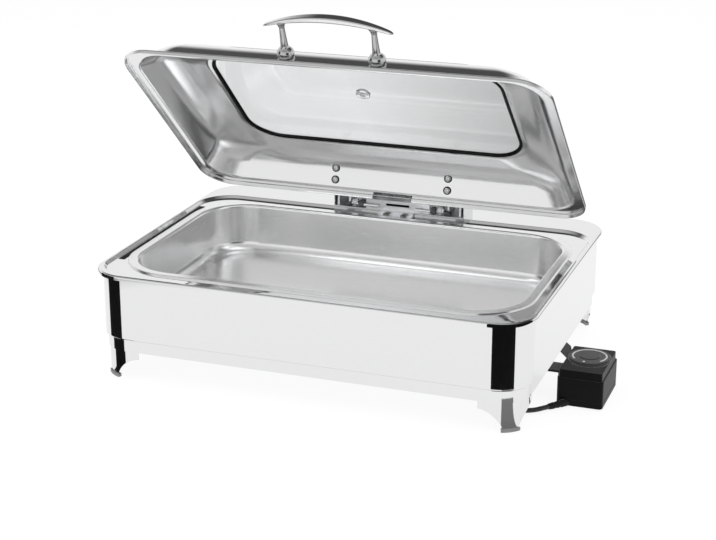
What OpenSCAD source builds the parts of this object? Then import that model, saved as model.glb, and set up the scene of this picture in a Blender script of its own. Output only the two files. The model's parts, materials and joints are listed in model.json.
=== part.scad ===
// Electric chafing dish: a rectangular steel water-bath base on four bent-sheet legs, with a food pan,
// a windowed lid on a damped rear hinge, an underside heater and a dial control on two arms.
// Millimetres, +Z up, +X to the right along the long side, -Y to the front. The table is Z = 0 and the
// origin is the middle of the whole footprint. Pieces are laid out from the middle of the dish itself.

/* [Base] */
// Height of the rim above the table
rim_h = 141; // [140:0.5:180]
// How far the rim stands out past the wall at the ends
rim_lap_l = 4.5; // [4:0.5:8]
// How far the rim stands out past the wall at front and back
rim_lap_w = 9; // [7:0.5:12]
// Height of the rim's turned-down edge
rim_edge = 6; // [4:0.5:9]
// Round on the rim's outer edge
rim_round = 3; // [2:0.5:4]
// Corner radius of the casing wall
wall_r = 42; // [38:1:54]
// Flat between the lid's recess and the wall at the ends
side_land = 4; // [4:0.5:8]
// Flat between the lid's recess and the wall at the front
front_land = 3.4; // [3:0.1:8]
// Depth of the rear ledge that carries the hinge
rear_ledge = 49.4; // [49:0.1:60]
// Depth of the lid's recess
shelf_drop = 3.5; // [3:0.1:4.5]
// Sheet thickness of the base pieces
sheet = 1.2; // [0.8:0.1:1.6]
// Height of the casing's lower edge above the table
wall_foot = 54; // [46:1:64]
// Height of the lower band
band_h = 16.5; // [14:0.5:22]
// How far the lower band is set in from the wall
band_inset = 3; // [2:0.5:6]
// Width of the folded flanges on the casing and the band
fold_w = 9; // [7:0.5:12]

/* [Legs] */
// Sheet thickness of a leg
leg_t = 2; // [1.5:0.1:3]
// Reach of a leg's front flange from the corner
leg_front = 54; // [48:1:64]
// Reach of a leg's side flange from the corner
leg_side = 46; // [42:1:56]
// Radius of the sweep cut into each flange
leg_sweep = 35.5; // [30:0.5:40]
// Height of the rubber cap under a leg
cap_h = 3; // [2:0.5:5]

/* [Pans] */
// Length of the food pan's mouth
pan_l = 505; // [470:1:530]
// Width of the food pan's mouth
pan_w = 300; // [270:1:310]
// Corner radius of the food pan's mouth
pan_r = 62; // [56:1:72]
// Depth of the food pan
pan_depth = 65; // [50:1:66]
// Sheet thickness of both pans
pan_t = 1; // [0.8:0.1:1.4]
// Width of the food pan's flange
pan_flange = 12.5; // [11:0.5:14]
// Turned-down edge of the food pan's flange
pan_drop = 2.2; // [1.8:0.1:3]
// Lean of the food pan's walls in degrees
pan_lean = 6; // [3:0.5:8]
// Round at the food pan's bottom
pan_round = 17; // [12:1:22]
// Room between the food pan's bottom and the water pan's
water_gap = 13; // [8:1:16]
// Room between the food pan's mouth and the frame's opening
mouth_gap = 5; // [4:0.5:6]

/* [Heater] */
// How much smaller the heater plate is than the food pan's mouth, each side
heater_margin = 42; // [40:1:60]
// Thickness of the heater plate
heater_t = 4; // [3:0.5:5]
// Diameter of the tubular element
element_d = 8; // [6:0.5:8]
// How far the element's loop lies in from the plate's edge
element_in = 40; // [32:1:50]

/* [Lid] */
// How far the lid stands open in degrees
lid_open = 42.4; // [5:0.1:85]
// Room between the food pan's flange and the lid's lip at the ends
groove_l = 7.8; // [4:0.1:14]
// Room between the food pan's flange and the lid's lip at front and back
groove_w = 13.4; // [13:0.1:20]
// How much tighter the lid's corners are than the wall's
lid_tight = 1; // [0.5:0.1:3]
// Sheet thickness of the lid
lid_t = 1; // [0.8:0.1:1.2]
// Depth of the lid's turned-down lip
lid_lip = 6.2; // [5:0.1:7]
// Width of the lid's flat flange
lid_flange = 13; // [11:0.5:15]
// Height of the lid's side wall
lid_wall = 32; // [30:1:36]
// Run of the lid's side wall from foot to shoulder
lid_lean = 18; // [14:1:20]
// Height of the window ledge above the flange
lid_h = 43; // [41:1:54]
// Round on the lid's shoulder
lid_shoulder = 10; // [6:1:10]
// Width of the lid's border round the window at the ends
border_l = 82.3; // [70:0.1:110]
// Width of the lid's border round the window at front and back
border_w = 68.7; // [64:0.1:80]
// Corner radius of the window opening
window_r = 45; // [36:1:50]
// Width of the ledge round the window
ledge_w = 8; // [8:0.5:11]
// Thickness of the window glass
glass_t = 3; // [3:0.5:5]
// How far the glass laps over the ledge
glass_lap = 4; // [3:0.5:4]
// Distance of the vent from the lid's middle, towards the front
vent_shift = 26; // [0:1:40]
// How far the window's gasket shows inside the ledge
gasket_lip = 3; // [1:0.5:4]
// Bore of the vent ring
vent_bore = 7; // [5:0.5:9]

/* [Hinge] */
// Pivot's distance behind the lid's recess
pivot_back = 22.9; // [21:0.1:28]
// Pivot's height above the rear ledge
pivot_up = 35; // [33:0.5:38]
// Diameter of the hinge pin
pin_d = 8; // [6:0.5:9]
// Running clearance of the pin in radius
pin_gap = 0.05; // [0.02:0.01:0.08]
// Width of the hinge base
hinge_w = 186; // [184:1:230]
// Distance of each hinge arm from the middle
arm_x = 80; // [76:1:86]
// Width of a hinge arm
arm_w = 12; // [10:1:14]
// Thickness of the hinge base plates
plate_t = 1.5; // [1.2:0.1:2]
// Thickness of the hinge ears
ear_t = 3; // [2:0.5:4]
// Radius of the hinge eyes
eye_r = 10; // [8:0.5:11]
// Diameter of the damper barrels
damper_d = 18; // [16:1:22]
// Length of a damper barrel
damper_l = 42; // [30:1:44]
// Width of the front tab of the hinge base
tab_w = 50; // [40:1:60]

/* [Handle] */
// Distance between the handle posts
post_gap = 117; // [96:1:126]
// Length of a post from the lid to the bar
post_l = 47; // [36:1:54]
// Height of the posts up the lid's front wall
post_up = 17.5; // [14:0.5:18]
// Length of the handle bar
bar_l = 165; // [150:1:190]
// Rise of the bar's arch
bar_rise = 16; // [10:1:24]
// Depth of the bar in its middle
bar_w = 15; // [11:1:18]
// Thickness of the bar in its middle
bar_t = 7; // [5:0.5:9]
// Depth of the bar at its ends
bar_end_w = 6; // [4:0.5:10]
// Thickness of the bar at its ends
bar_end_t = 3; // [2:0.5:4]
// Radius of a post's round base
base_r = 11; // [9:0.5:13]
// Diameter of a post's stud through the lid
stud_d = 5; // [4:0.5:6]

/* [Control] */
// Width of the control box
box_l = 57; // [54:1:66]
// Depth of the control box
box_w = 86; // [80:1:92]
// Height of the control box
box_h = 47; // [45:1:56]
// Gap between the casing wall and the control box
box_gap = 12; // [10:1:16]
// Distance of the control box's middle behind the front wall
box_back = 149.5; // [140:0.5:170]
// Wall of the control box
box_t = 2.2; // [1.8:0.1:3]
// Diameter of the dial
dial_d = 53; // [44:1:53]
// Thickness of the dial
dial_t = 5; // [4:0.5:7]
// Diameter of the dial's spindle
spindle_d = 6; // [5:0.5:6]
// Thickness of the bracket's arms
arm_t = 3; // [2:0.5:3]

/* [Cord] */
// Diameter of the mains cord
cord_d = 6; // [5:0.5:6.5]

/* [Hidden] */
$fn = 64;
fine = 360;

// Small clearances
touch = 0.02;
slip = 0.1;
seat_gap = 0.4;
side_gap = 1.2;

// Lid, recess, wall and rim follow the food pan
rim_more = 6;
lid_l = pan_l + 2 * (pan_flange + pan_t + groove_l);
lid_w = pan_w + 2 * (pan_flange + pan_t + groove_w);
lid_r = wall_r - lid_tight;
seat_l = lid_l + 2 * side_gap;
seat_w = lid_w + 2 * side_gap;
seat_r = lid_r + side_gap;
mouth_l = pan_l + 2 * mouth_gap;
mouth_w = pan_w + 2 * mouth_gap;
mouth_r = pan_r + mouth_gap;
wall_l = seat_l + 2 * side_land;
wall_w = seat_w + front_land + rear_ledge;
rim_l = wall_l + 2 * rim_lap_l;
rim_w = wall_w + 2 * rim_lap_w;
rim_r = wall_r + rim_more;
pan_shift = (rear_ledge - front_land) / 2;
seat_back = -pan_shift + seat_w / 2;

// Levels of the base
shelf_z = rim_h - shelf_drop;
pan_top = shelf_z + pan_drop;
band_z = wall_foot - band_h;
tray_up = 3.5;
tray_z = band_z + tray_up;
pan_floor = pan_top - pan_depth;
bath_floor = pan_floor - pan_t - water_gap;
bath_top = shelf_z - sheet;
pan_lip = 4;
bath_lip = 3;
bath_round = 20;
bath_lean = 4;
bath_flange = 14;

// Heater
heater_l = pan_l - 2 * heater_margin;
heater_w = pan_w - 2 * heater_margin;
heater_z = bath_floor - pan_t - heater_t;
element_l = heater_l - 2 * element_in;
element_w = heater_w - 2 * element_in;
element_turn = 36;
element_end = 18;
heater_r = 40;
clip_w = 16;
clip_t = 1.5;
clip_foot = 8;

// Vent slots and posts of the base tray, placed from the heater
vent_l = 70;
vent_w = 5;
vent_pitch = 18;
vent_rows = 3;
vent_in = 90;
tray_post_d = 9;
post_in = 25;
post_out = 9;

// Screws
screw_d = 4;
screw_hole = screw_d + 2 * slip;

// The lid is laid out closed, then turned open about the pivot
pivot_y = seat_back + pivot_back;
pivot_z = rim_h + pivot_up;
lid_z = shelf_z + seat_gap + lid_lip;
lid_back = -pan_shift + lid_w / 2;
lid_top = lid_flange + lid_lean;
lip_round = 2.5;
foot_round = 3;
ledge_round = 4;
corner_close = 0.4;
notch_room = 3;
notch_roof = 1.3;
wall_slope = atan2(lid_lean, lid_wall);
window_l = lid_l - 2 * border_l;
window_w = lid_w - 2 * border_w;
ledge_out = border_w - ledge_w;
ledge_out_long = border_l - ledge_w;
gasket_t = 1;
gasket_wall = 1.5;
frame_t = 1;
frame_wall = 1.2;
glass_z = lid_z + lid_h + gasket_t;
post_seat = 1;
lid_screw_low = 9;
lid_screw_high = 23;
arm_low = 4;
arm_high = 27;

// Hinge
arm_play = 0.8;
ear_side = arm_w / 2 + arm_play + ear_t / 2;
hinge_reach = 28;
hinge_front = seat_back + sheet + 1.5;
hinge_screw_in = 38;
tab_reach = 13;
tab_screw_in = 7;
stop_w = 92;
stop_h = 13;
cover_front = 14;
cover_up = 14;
cover_round = 10;

// The legs sit just inside the band
leg_in = band_inset + sheet + 0.2;
leg_l = wall_l - 2 * leg_in;
leg_w = wall_w - 2 * leg_in;
leg_r = wall_r - leg_in;
leg_top = wall_foot - sheet - 0.3;
tray_in = leg_in + leg_t + 0.4;
sweep_in = 3;
sweep_drop = 8;
cap_wall = 1.5;
cap_up = 1.5;
cap_turn = 3;

// Control box places
box_x = wall_l / 2 + box_gap;
box_y = -wall_w / 2 + box_back;
box_foot = 1.5;
box_split = 9;
dial_x = box_x + box_l / 2 + 2;
arm_z = band_z - 0.3 - arm_t;
bracket_front = box_y - 22;
front_arm_w = 26;
rear_arm_y = box_y + 57;
rear_arm_w = 17;
origin_x = (box_x + box_l - rim_l / 2) / 2;

// Strain relief on the box's front face
relief_x = box_x + 11;
relief_y = box_y - box_w / 2;
relief_z = 5;
relief_l = 24;
relief_turn = 40;
relief_way = [-sin(relief_turn), -cos(relief_turn), 0];
relief_end = [relief_x, relief_y, relief_z] + relief_l * relief_way;

// The cord's route over the table: from the strain relief round a bend behind the front right leg, then
// along points measured from the front right and the rear right corner of the walls to the coil
cord_lay = cord_d / 2 + 0.1;
front_corner = [wall_l / 2, -wall_w / 2, 0];
rear_corner = [wall_l / 2, wall_w / 2, 0];
bend_r = 33;
bend_step = 19;
bend_sink = 0.7;
bend_start = relief_end + 8 * relief_way;
bend_centre = bend_start + bend_r * [-cos(relief_turn), sin(relief_turn), 0];
bend_points = [
    for (k = [1:7])
        let (turn = -relief_turn - bend_step * k, p = bend_centre + bend_r * [cos(turn), sin(turn), 0])
        [p[0], p[1], max(cord_lay, relief_z - bend_sink * k)]
];
front_points = [[-56.6, 110, cord_lay], [-58, 122, cord_lay], [-60.5, 145, cord_lay]];
rear_points = [
    [-73, -145, cord_lay], [-78, -115, cord_lay], [-84, -85, cord_lay], [-91, -55, cord_lay],
    [-100, -25, cord_lay], [-111, 2, cord_lay], [-121, 25, cord_lay], [-124, 47, 4.3]
];
cord_route = concat(
    [relief_end, bend_start],
    bend_points,
    [for (p = front_points) front_corner + p],
    [for (p = rear_points) rear_corner + p]);
coil_x = wall_l / 2 - 163;
coil_y = wall_w / 2 + 47;
coil_r = 36;
coil_z = 1.3;
plug_x = coil_x - 50;
plug_y = coil_y + coil_r + cord_d / 2;
plug_z = 11.5;
plug_route = [
    for (p = [[50, 10.3], [40, 10.3], [30, 10.4], [20, 10.8], [10, 11.3], [0, plug_z]])
        [plug_x + p[0], plug_y, p[1]]
];

// Vector and outline helpers
function unit(v) = v / norm(v);

// Points of an arc that rounds the corner b between a and c
function fillet(a, b, c, r, n) =
    let (u = unit(a - b), v = unit(c - b), half = acos(u * v) / 2)
    let (centre = b + unit(u + v) * r / sin(half), turn = 180 - 2 * half)
    let (s = b + u * r / tan(half) - centre, e = b + v * r / tan(half) - centre)
    [for (i = [0:n]) centre + (s * sin(turn * (1 - i / n)) + e * sin(turn * i / n)) / sin(turn)];

// An open path with each inner corner rounded to its radius
function rounded(path, radii, n) = [
    path[0],
    for (i = [1:len(path) - 2]) each fillet(path[i - 1], path[i], path[i + 1], radii[i], n),
    path[len(path) - 1]
];

// An open path moved sideways by t, to its right
function beside(path, t) = [
    for (i = [0:len(path) - 1])
        let (a = path[max(i - 1, 0)], b = path[min(i + 1, len(path) - 1)], d = unit(b - a))
        path[i] + t * [d[1], -d[0]]
];

function backwards(list) = [for (i = [len(list) - 1:-1:0]) list[i]];

// One ring of a rounded rectangle, given half sizes, radius and height
function ring(a, b, r, z, n) = [
    for (k = [0:3], i = [0:n])
        let (turn = 90 * (k + i / n), sx = (k == 0 || k == 3) ? 1 : -1, sy = k < 2 ? 1 : -1)
        [sx * (a - r) + r * cos(turn), sy * (b - r) + r * sin(turn), z]
];

// A tube swept along points with a given number of sides
function tube_ring(p, way, r, sides) =
    let (side = unit(cross(way, [0, 0, 1])), up = cross(side, way))
    [for (i = [0:sides - 1]) p + r * (side * cos(360 * i / sides) + up * sin(360 * i / sides))];

// A smooth curve through the route's points, with two steps to each stretch
function between(a, b, c, d, t) =
    0.5 * (2 * b + (c - a) * t + (2 * a - 5 * b + 4 * c - d) * t * t + (3 * b - a - 3 * c + d) * t * t * t);

function smooth(route) = [
    for (i = [0:len(route) - 2], t = [0, 0.5])
        between(route[max(i - 1, 0)], route[i], route[i + 1], route[min(i + 2, len(route) - 1)], t),
    route[len(route) - 1]
];

module rounded_sheet(l, w, r) {
    square([l - 2 * r, w], center = true);
    square([l, w - 2 * r], center = true);
    for (x = [-1, 1], y = [-1, 1])
        translate([x * (l / 2 - r), y * (w / 2 - r)])
            circle(r);
}

// Carries a profile round a rounded rectangle: the profile's X runs outwards from the corner's centre
module carried_round(l, w, r) {
    dx = l / 2 - r;
    dy = w / 2 - r;
    for (turn = [0, 180])
        rotate(turn) {
            translate([-dx, dy, 0])
                rotate([90, 0, 90])
                    linear_extrude(2 * dx)
                        children();
            translate([dx, dy, 0])
                rotate([90, 0, 0])
                    linear_extrude(2 * dy)
                        children();
            translate([dx, dy, 0])
                rotate_extrude(angle = 90)
                    children();
            translate([-dx, dy, 0])
                rotate(90)
                    rotate_extrude(angle = 90)
                        children();
        }
}

module slot(l, w) {
    square([l - w, w], center = true);
    for (x = [-1, 1])
        translate([x * (l - w) / 2, 0])
            circle(w / 2);
}

module ring_plate(l, w, r, inner, outer, t) {
    linear_extrude(t)
        difference() {
            rounded_sheet(l + 2 * outer, w + 2 * outer, r + outer);
            rounded_sheet(l + 2 * inner, w + 2 * inner, r + inner);
        }
}

module swept_tube(route, d, sides) {
    path = smooth(route);
    last = len(path) - 1;
    rings = [
        for (i = [0:last])
            each tube_ring(path[i], unit(path[min(i + 1, last)] - path[max(i - 1, 0)]), d / 2, sides)
    ];
    walls = [
        for (i = [0:last - 1], k = [0:sides - 1])
            let (a = i * sides + k, b = i * sides + (k + 1) % sides)
            each [[a, a + sides, b], [b, a + sides, b + sides]]
    ];
    start = [for (k = [0:sides - 1]) k];
    end = [for (k = [sides - 1:-1:0]) last * sides + k];
    polyhedron(rings, concat(walls, [start, end]), convexity = 8);
}

module placed() {
    translate([-origin_x, 0, 0])
        children();
}

module lid_placed() {
    placed()
        translate([0, pivot_y, pivot_z])
            rotate([-lid_open, 0, 0])
                translate([0, -pivot_y, -pivot_z])
                    children();
}

// Base

module casing() {
    color("gainsboro")
        carried_round(wall_l, wall_w, wall_r)
            polygon([
                [wall_r, wall_foot], [wall_r, rim_h - sheet], [wall_r - sheet, rim_h - sheet],
                [wall_r - sheet, wall_foot + sheet], [wall_r - fold_w, wall_foot + sheet],
                [wall_r - fold_w, wall_foot]
            ]);
}

// The flat land round the recess, with the hinge's screw holes in its rear ledge
module frame_land() {
    difference() {
        translate([0, 0, rim_h - sheet])
            linear_extrude(sheet)
                difference() {
                    rounded_sheet(rim_l - 4 * rim_round, rim_w - 4 * rim_round, rim_r - 2 * rim_round);
                    translate([0, -pan_shift])
                        rounded_sheet(seat_l, seat_w, seat_r);
                }
        hinge_screw_places()
            cylinder(h = 2 * plate_t, d = screw_hole);
    }
}

// The rim's turned-down outer edge
module frame_edge() {
    outer = rounded(
        [[rim_r - 2 * rim_round, rim_h], [rim_r, rim_h], [rim_r, rim_h - rim_edge]],
        [0, rim_round, 0], 6);
    carried_round(rim_l, rim_w, rim_r)
        polygon(concat(outer, backwards(beside(outer, sheet))));
}

// The recess for the lid's lip: a step down, then the shelf that carries the food pan
module frame_recess() {
    translate([0, -pan_shift, shelf_z - sheet]) {
        ring_plate(seat_l, seat_w, seat_r, 0, sheet, rim_h - shelf_z);
        linear_extrude(sheet)
            difference() {
                rounded_sheet(seat_l, seat_w, seat_r);
                rounded_sheet(mouth_l, mouth_w, mouth_r);
                for (x = [-1, 1])
                    translate([x * tab_w / 4, seat_w / 2 - tab_screw_in])
                        circle(d = screw_hole);
            }
    }
}

module top_frame() {
    color("silver") {
        frame_land();
        frame_edge();
        frame_recess();
    }
}

module lower_band() {
    out = wall_r - band_inset;
    color("gainsboro")
        carried_round(wall_l, wall_w, wall_r)
            polygon([
                [out, band_z], [out, wall_foot], [out - fold_w, wall_foot],
                [out - fold_w, wall_foot - sheet], [out - sheet, wall_foot - sheet], [out - sheet, band_z]
            ]);
}

module base_tray() {
    out = wall_r - tray_in;
    tray_l = wall_l - 2 * tray_in;
    tray_w = wall_w - 2 * tray_in;
    color("darkgray")
        difference() {
            union() {
                translate([0, 0, tray_z])
                    linear_extrude(sheet)
                        rounded_sheet(tray_l - 2 * sheet, tray_w - 2 * sheet, out - sheet);
                carried_round(tray_l, tray_w, out)
                    polygon([
                        [out - sheet, tray_z], [out, tray_z],
                        [out, wall_foot - sheet], [out - sheet, wall_foot - sheet]
                    ]);
            }
            for (x = [-1, 1], row = [-vent_rows:vent_rows])
                translate([x * (heater_l / 2 - vent_in), row * vent_pitch - pan_shift, tray_z - 1])
                    linear_extrude(sheet + 2)
                        slot(vent_l, vent_w);
            tray_screw_places()
                cylinder(h = 10, d = screw_hole, center = true);
            bracket_screw_places()
                cylinder(h = 10, d = screw_hole, center = true);
        }
}

// Both pans: a flange, a rounded lip, leaning walls and a rounded bottom
function pan_inside(r, top, depth, lip, bottom, lean, flange) =
    let (lip_c = [r + lip, top - lip], floor_z = top - depth)
    let (from = lip_c + lip * [-cos(lean), sin(lean)])
    let (to_z = floor_z + bottom - bottom * sin(lean))
    let (to_x = from[0] - (from[1] - to_z) * tan(lean))
    let (low_c = [to_x - bottom * cos(lean), floor_z + bottom])
    [
        [r + flange, top],
        for (i = [0:6]) lip_c + lip * [cos(90 + (90 - lean) * i / 6), sin(90 + (90 - lean) * i / 6)],
        for (i = [0:8]) low_c + bottom * [cos(-lean - (90 - lean) * i / 8), sin(-lean - (90 - lean) * i / 8)],
        [low_c[0] - 2, floor_z]
    ];

module pan_shell(l, w, r, inside, t) {
    last = inside[len(inside) - 1];
    carried_round(l, w, r)
        polygon(concat(inside, backwards(beside(inside, -t))));
    translate([0, 0, last[1] - t])
        linear_extrude(t)
            rounded_sheet(l - 2 * (r - last[0]), w - 2 * (r - last[0]), last[0]);
}

module food_pan() {
    inside = pan_inside(pan_r, pan_top, pan_depth, pan_lip, pan_round, pan_lean, pan_flange);
    edge = pan_r + pan_flange;
    color("lightgray")
        translate([0, -pan_shift, 0]) {
            pan_shell(pan_l, pan_w, pan_r, inside, pan_t);
            carried_round(pan_l, pan_w, pan_r)
                polygon([
                    [edge, pan_top], [edge + pan_t, pan_top - pan_t],
                    [edge + pan_t, shelf_z], [edge, shelf_z]
                ]);
        }
}

module water_pan() {
    depth = bath_top - bath_floor;
    inside = pan_inside(mouth_r, bath_top, depth, bath_lip, bath_round, bath_lean, bath_flange);
    color("silver")
        translate([0, -pan_shift, 0])
            pan_shell(mouth_l, mouth_w, mouth_r, inside, pan_t);
}

// One leg at the front right corner; the others are mirrored
module leg() {
    dx = leg_l / 2 - leg_r;
    dy = leg_w / 2 - leg_r;
    front_edge = leg_l / 2 - leg_front;
    side_edge = -leg_w / 2 + leg_side;
    color("gainsboro")
        difference() {
            union() {
                translate([dx, -dy, cap_h])
                    rotate(-90)
                        rotate_extrude(angle = 90)
                            translate([leg_r - leg_t, 0])
                                square([leg_t, leg_top - cap_h]);
                translate([front_edge, -leg_w / 2, cap_h])
                    cube([dx - front_edge, leg_t, leg_top - cap_h]);
                translate([leg_l / 2 - leg_t, -dy, cap_h])
                    cube([leg_t, side_edge + dy, leg_top - cap_h]);
            }
            translate([front_edge - sweep_in, 0, -sweep_drop])
                rotate([90, 0, 0])
                    cylinder(h = leg_w, r = leg_sweep);
            translate([0, side_edge + sweep_in, -sweep_drop])
                rotate([0, 90, 0])
                    cylinder(h = leg_l, r = leg_sweep);
        }
}

module front_right_leg() leg();
module front_left_leg() mirror([1, 0, 0]) leg();
module rear_right_leg() mirror([0, 1, 0]) leg();
module rear_left_leg() mirror([1, 0, 0]) mirror([0, 1, 0]) leg();

module foot_caps() {
    reach = sqrt(leg_sweep * leg_sweep - (sweep_drop + cap_h) * (sweep_drop + cap_h));
    from_x = leg_r - leg_front - sweep_in + reach;
    from_y = leg_r - leg_side - sweep_in + reach;
    start = -acos(from_x / leg_r) - cap_turn;
    end = -asin(from_y / leg_r) + cap_turn;
    color("dimgray")
        for (mx = [0, 1], my = [0, 1])
            mirror([mx, 0, 0])
                mirror([0, my, 0])
                    translate([leg_l / 2 - leg_r, -leg_w / 2 + leg_r, 0])
                        rotate(start)
                            rotate_extrude(angle = end - start)
                                difference() {
                                    translate([leg_r - leg_t - cap_wall, 0])
                                        square([leg_t + 2 * cap_wall, cap_h + cap_up]);
                                    translate([leg_r - leg_t - slip, cap_h])
                                        square([leg_t + 2 * slip, cap_up + 1]);
                                }
}

// Heater under the water pan

module heater_plate() {
    color("darkgray")
        translate([0, -pan_shift, heater_z])
            linear_extrude(heater_t)
                rounded_sheet(heater_l, heater_w, heater_r);
}

module element_path() {
    turn_r = element_turn;
    x = element_l / 2;
    y = element_w / 2;
    for (side = [-1, 1]) {
        translate([-x + turn_r, side * y, 0])
            rotate([0, 90, 0])
                children(0);
        translate([-x + turn_r, side * (y - turn_r), 0])
            rotate(side > 0 ? 90 : 180)
                rotate_extrude(angle = 90)
                    translate([turn_r, 0])
                        circle(element_d / 2);
    }
    translate([-x, -y + turn_r, 0])
        rotate([-90, 0, 0])
            cylinder(h = 2 * (y - turn_r), d = element_d);
}

module heating_element() {
    color("slategray")
        translate([0, -pan_shift, heater_z - element_d / 2 - slip])
            element_path() {
                union() {
                    cylinder(h = element_l - element_turn, d = element_d);
                    cylinder(h = element_l - element_turn + element_end, d = element_d / 2);
                }
            }
}

// Saddle clips that hold the element up against the plate
module element_clips() {
    axis_z = heater_z - element_d / 2 - slip;
    low = heater_z - element_d - slip - clip_t;
    wide = element_d + 2 * clip_foot;
    foot_mid = element_d / 2 + clip_t + clip_foot / 2;
    color("darkgray")
        for (x = [-1, 1], y = [-1, 1])
            translate([x * element_l / 4, y * element_w / 2 - pan_shift, 0])
                difference() {
                    translate([-clip_w / 2, -wide / 2, low])
                        cube([clip_w, wide, heater_z - low]);
                    translate([0, 0, axis_z])
                        rotate([0, 90, 0])
                            cylinder(h = 2 * clip_w, d = element_d + 2 * slip, center = true);
                    translate([-clip_w, -element_d / 2 - slip, axis_z])
                        cube([2 * clip_w, element_d + 2 * slip, element_d]);
                    for (side = [-1, 1])
                        translate([-clip_w, side * foot_mid - clip_foot / 2, low - 1])
                            cube([2 * clip_w, clip_foot, heater_z - low + 1 - clip_t]);
                }
}

module tray_screw_places() {
    for (x = [-1, 1], y = [-1, 1])
        translate([x * (heater_l / 2 - post_in), y * (heater_w / 2 + post_out) - pan_shift, tray_z])
            children();
}

// Posts under the water pan's floor, which the tray hangs on
module tray_posts() {
    color("gray")
        tray_screw_places()
            translate([0, 0, sheet + touch])
                difference() {
                    cylinder(h = bath_floor - pan_t - tray_z - sheet - 2 * touch, d = tray_post_d);
                    translate([0, 0, -1])
                        cylinder(h = 11, d = screw_hole);
                }
}

module tray_screws() {
    color("gray")
        tray_screw_places()
            translate([0, 0, -touch])
                rotate([180, 0, 0])
                    pan_screw(screw_d, 9);
}

// Hinge on the rear ledge

module hinge_screw_places() {
    for (x = [-1, 1])
        translate([x * (hinge_w / 2 - hinge_screw_in), pivot_y + hinge_reach / 2, rim_h - plate_t])
            children();
}

module eye_plate(front, back, t) {
    translate([-t / 2, 0, 0])
        rotate([90, 0, 90])
            linear_extrude(t)
                difference() {
                    union() {
                        polygon([
                            [front, rim_h + plate_t - touch], [back, rim_h + plate_t - touch],
                            [pivot_y + eye_r * cos(20), pivot_z - eye_r * sin(20)],
                            [pivot_y - eye_r * cos(20), pivot_z - eye_r * sin(20)]
                        ]);
                        translate([pivot_y, pivot_z])
                            circle(eye_r);
                    }
                    translate([pivot_y, pivot_z])
                        circle(pin_d / 2 + pin_gap);
                }
}

module hinge_base() {
    tab_back = seat_back - slip;
    tab_rise = tab_back - plate_t;
    color("gainsboro")
        difference() {
            union() {
                translate([-hinge_w / 2, hinge_front, rim_h])
                    cube([hinge_w, pivot_y + hinge_reach - hinge_front, plate_t]);
                for (x = [-1, 1], edge = [-1, 1])
                    translate([x * arm_x + edge * ear_side, 0, 0])
                        eye_plate(pivot_y - 13, pivot_y + 16, ear_t);
                translate([-stop_w / 2, hinge_front + 3, rim_h + plate_t - touch])
                    cube([stop_w, plate_t, stop_h]);
                translate([-tab_w / 2, 0, 0])
                    rotate([90, 0, 90])
                        linear_extrude(tab_w)
                            polygon([
                                [hinge_front, rim_h], [hinge_front, rim_h + plate_t],
                                [tab_rise, rim_h + plate_t], [tab_rise, shelf_z + plate_t],
                                [seat_back - tab_reach, shelf_z + plate_t], [seat_back - tab_reach, shelf_z],
                                [tab_back, shelf_z], [tab_back, rim_h]
                            ]);
            }
            hinge_screw_places()
                cylinder(h = 20, d = screw_hole);
            for (x = [-1, 1])
                translate([x * tab_w / 4, seat_back - tab_screw_in, shelf_z - 1])
                    cylinder(h = 10, d = screw_hole);
        }
}

// A pan-head screw with its shank down, standing on z = 0
module pan_screw(d, l) {
    rotate_extrude()
        polygon([[0, 0], [d, 0], [d, d * 0.35], [d * 0.75, d * 0.6], [0, d * 0.65]]);
    translate([0, 0, -l])
        cylinder(h = l, d = d);
}

module hinge_base_screws() {
    color("silver") {
        hinge_screw_places()
            translate([0, 0, 2 * plate_t + touch])
                pan_screw(screw_d, 6);
        for (x = [-1, 1])
            translate([x * tab_w / 4, seat_back - tab_screw_in, shelf_z + plate_t + touch])
                pan_screw(screw_d, 4);
    }
}

module hinge_dampers() {
    r = damper_d / 2;
    start = arm_x - ear_side - ear_t / 2 - touch;
    color("gray")
        for (x = [-1, 1])
            translate([x * start, pivot_y, pivot_z])
                rotate([0, -90 * x, 0])
                    difference() {
                        rotate_extrude()
                            polygon([
                                [0, 0], [r - 2, 0], [r, 2], [r, damper_l - 8],
                                [r - 3, damper_l - 6], [r - 3, damper_l], [0, damper_l]
                            ]);
                        translate([0, 0, -1])
                            cylinder(h = damper_l + 2, d = pin_d + 2 * pin_gap);
                    }
}

// Fixed cover behind and above the pivot, open where the arms swing
module hinge_cover() {
    back = pivot_y + hinge_reach + sheet + slip;
    front = pivot_y - cover_front;
    roof = pivot_z + cover_up;
    wide = hinge_w + 2 * sheet + 0.4;
    floor_z = rim_h + touch;
    color("silver")
        difference() {
            translate([-wide / 2, 0, 0])
                rotate([90, 0, 90])
                    linear_extrude(wide)
                        polygon(concat(
                            [[front, floor_z], [back, floor_z]],
                            fillet([back, floor_z], [back, roof], [front, roof], cover_round, 6),
                            [[front + 8, roof], [front, roof - 16]]));
            translate([-wide / 2 + sheet, front - 5, floor_z - 1])
                cube([wide - 2 * sheet, back - front + 5 - sheet, roof - floor_z + 1 - sheet]);
            translate([-wide / 2 + sheet, front - 5, pivot_z])
                cube([wide - 2 * sheet, pivot_y + eye_r + 3 - front + 5, roof - pivot_z + 5]);
        }
}

// Lid, laid out closed. Distances d run inwards from the flange's edge, heights w up from the flange

lid_path = rounded(
    [
        [0, -lid_lip], [0, 0], [lid_flange, 0], [lid_top, lid_wall],
        [ledge_out, lid_h], [ledge_out + ledge_w, lid_h]
    ],
    [0, lip_round, foot_round, lid_shoulder, ledge_round, 0], 4);

// The long way's inset runs further, so that the window keeps its own length
function long_inset(d) =
    d <= lid_top ? d
    : d <= ledge_out ? lid_top + (d - lid_top) * (ledge_out_long - lid_top) / (ledge_out - lid_top)
    : ledge_out_long + d - ledge_out;

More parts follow.
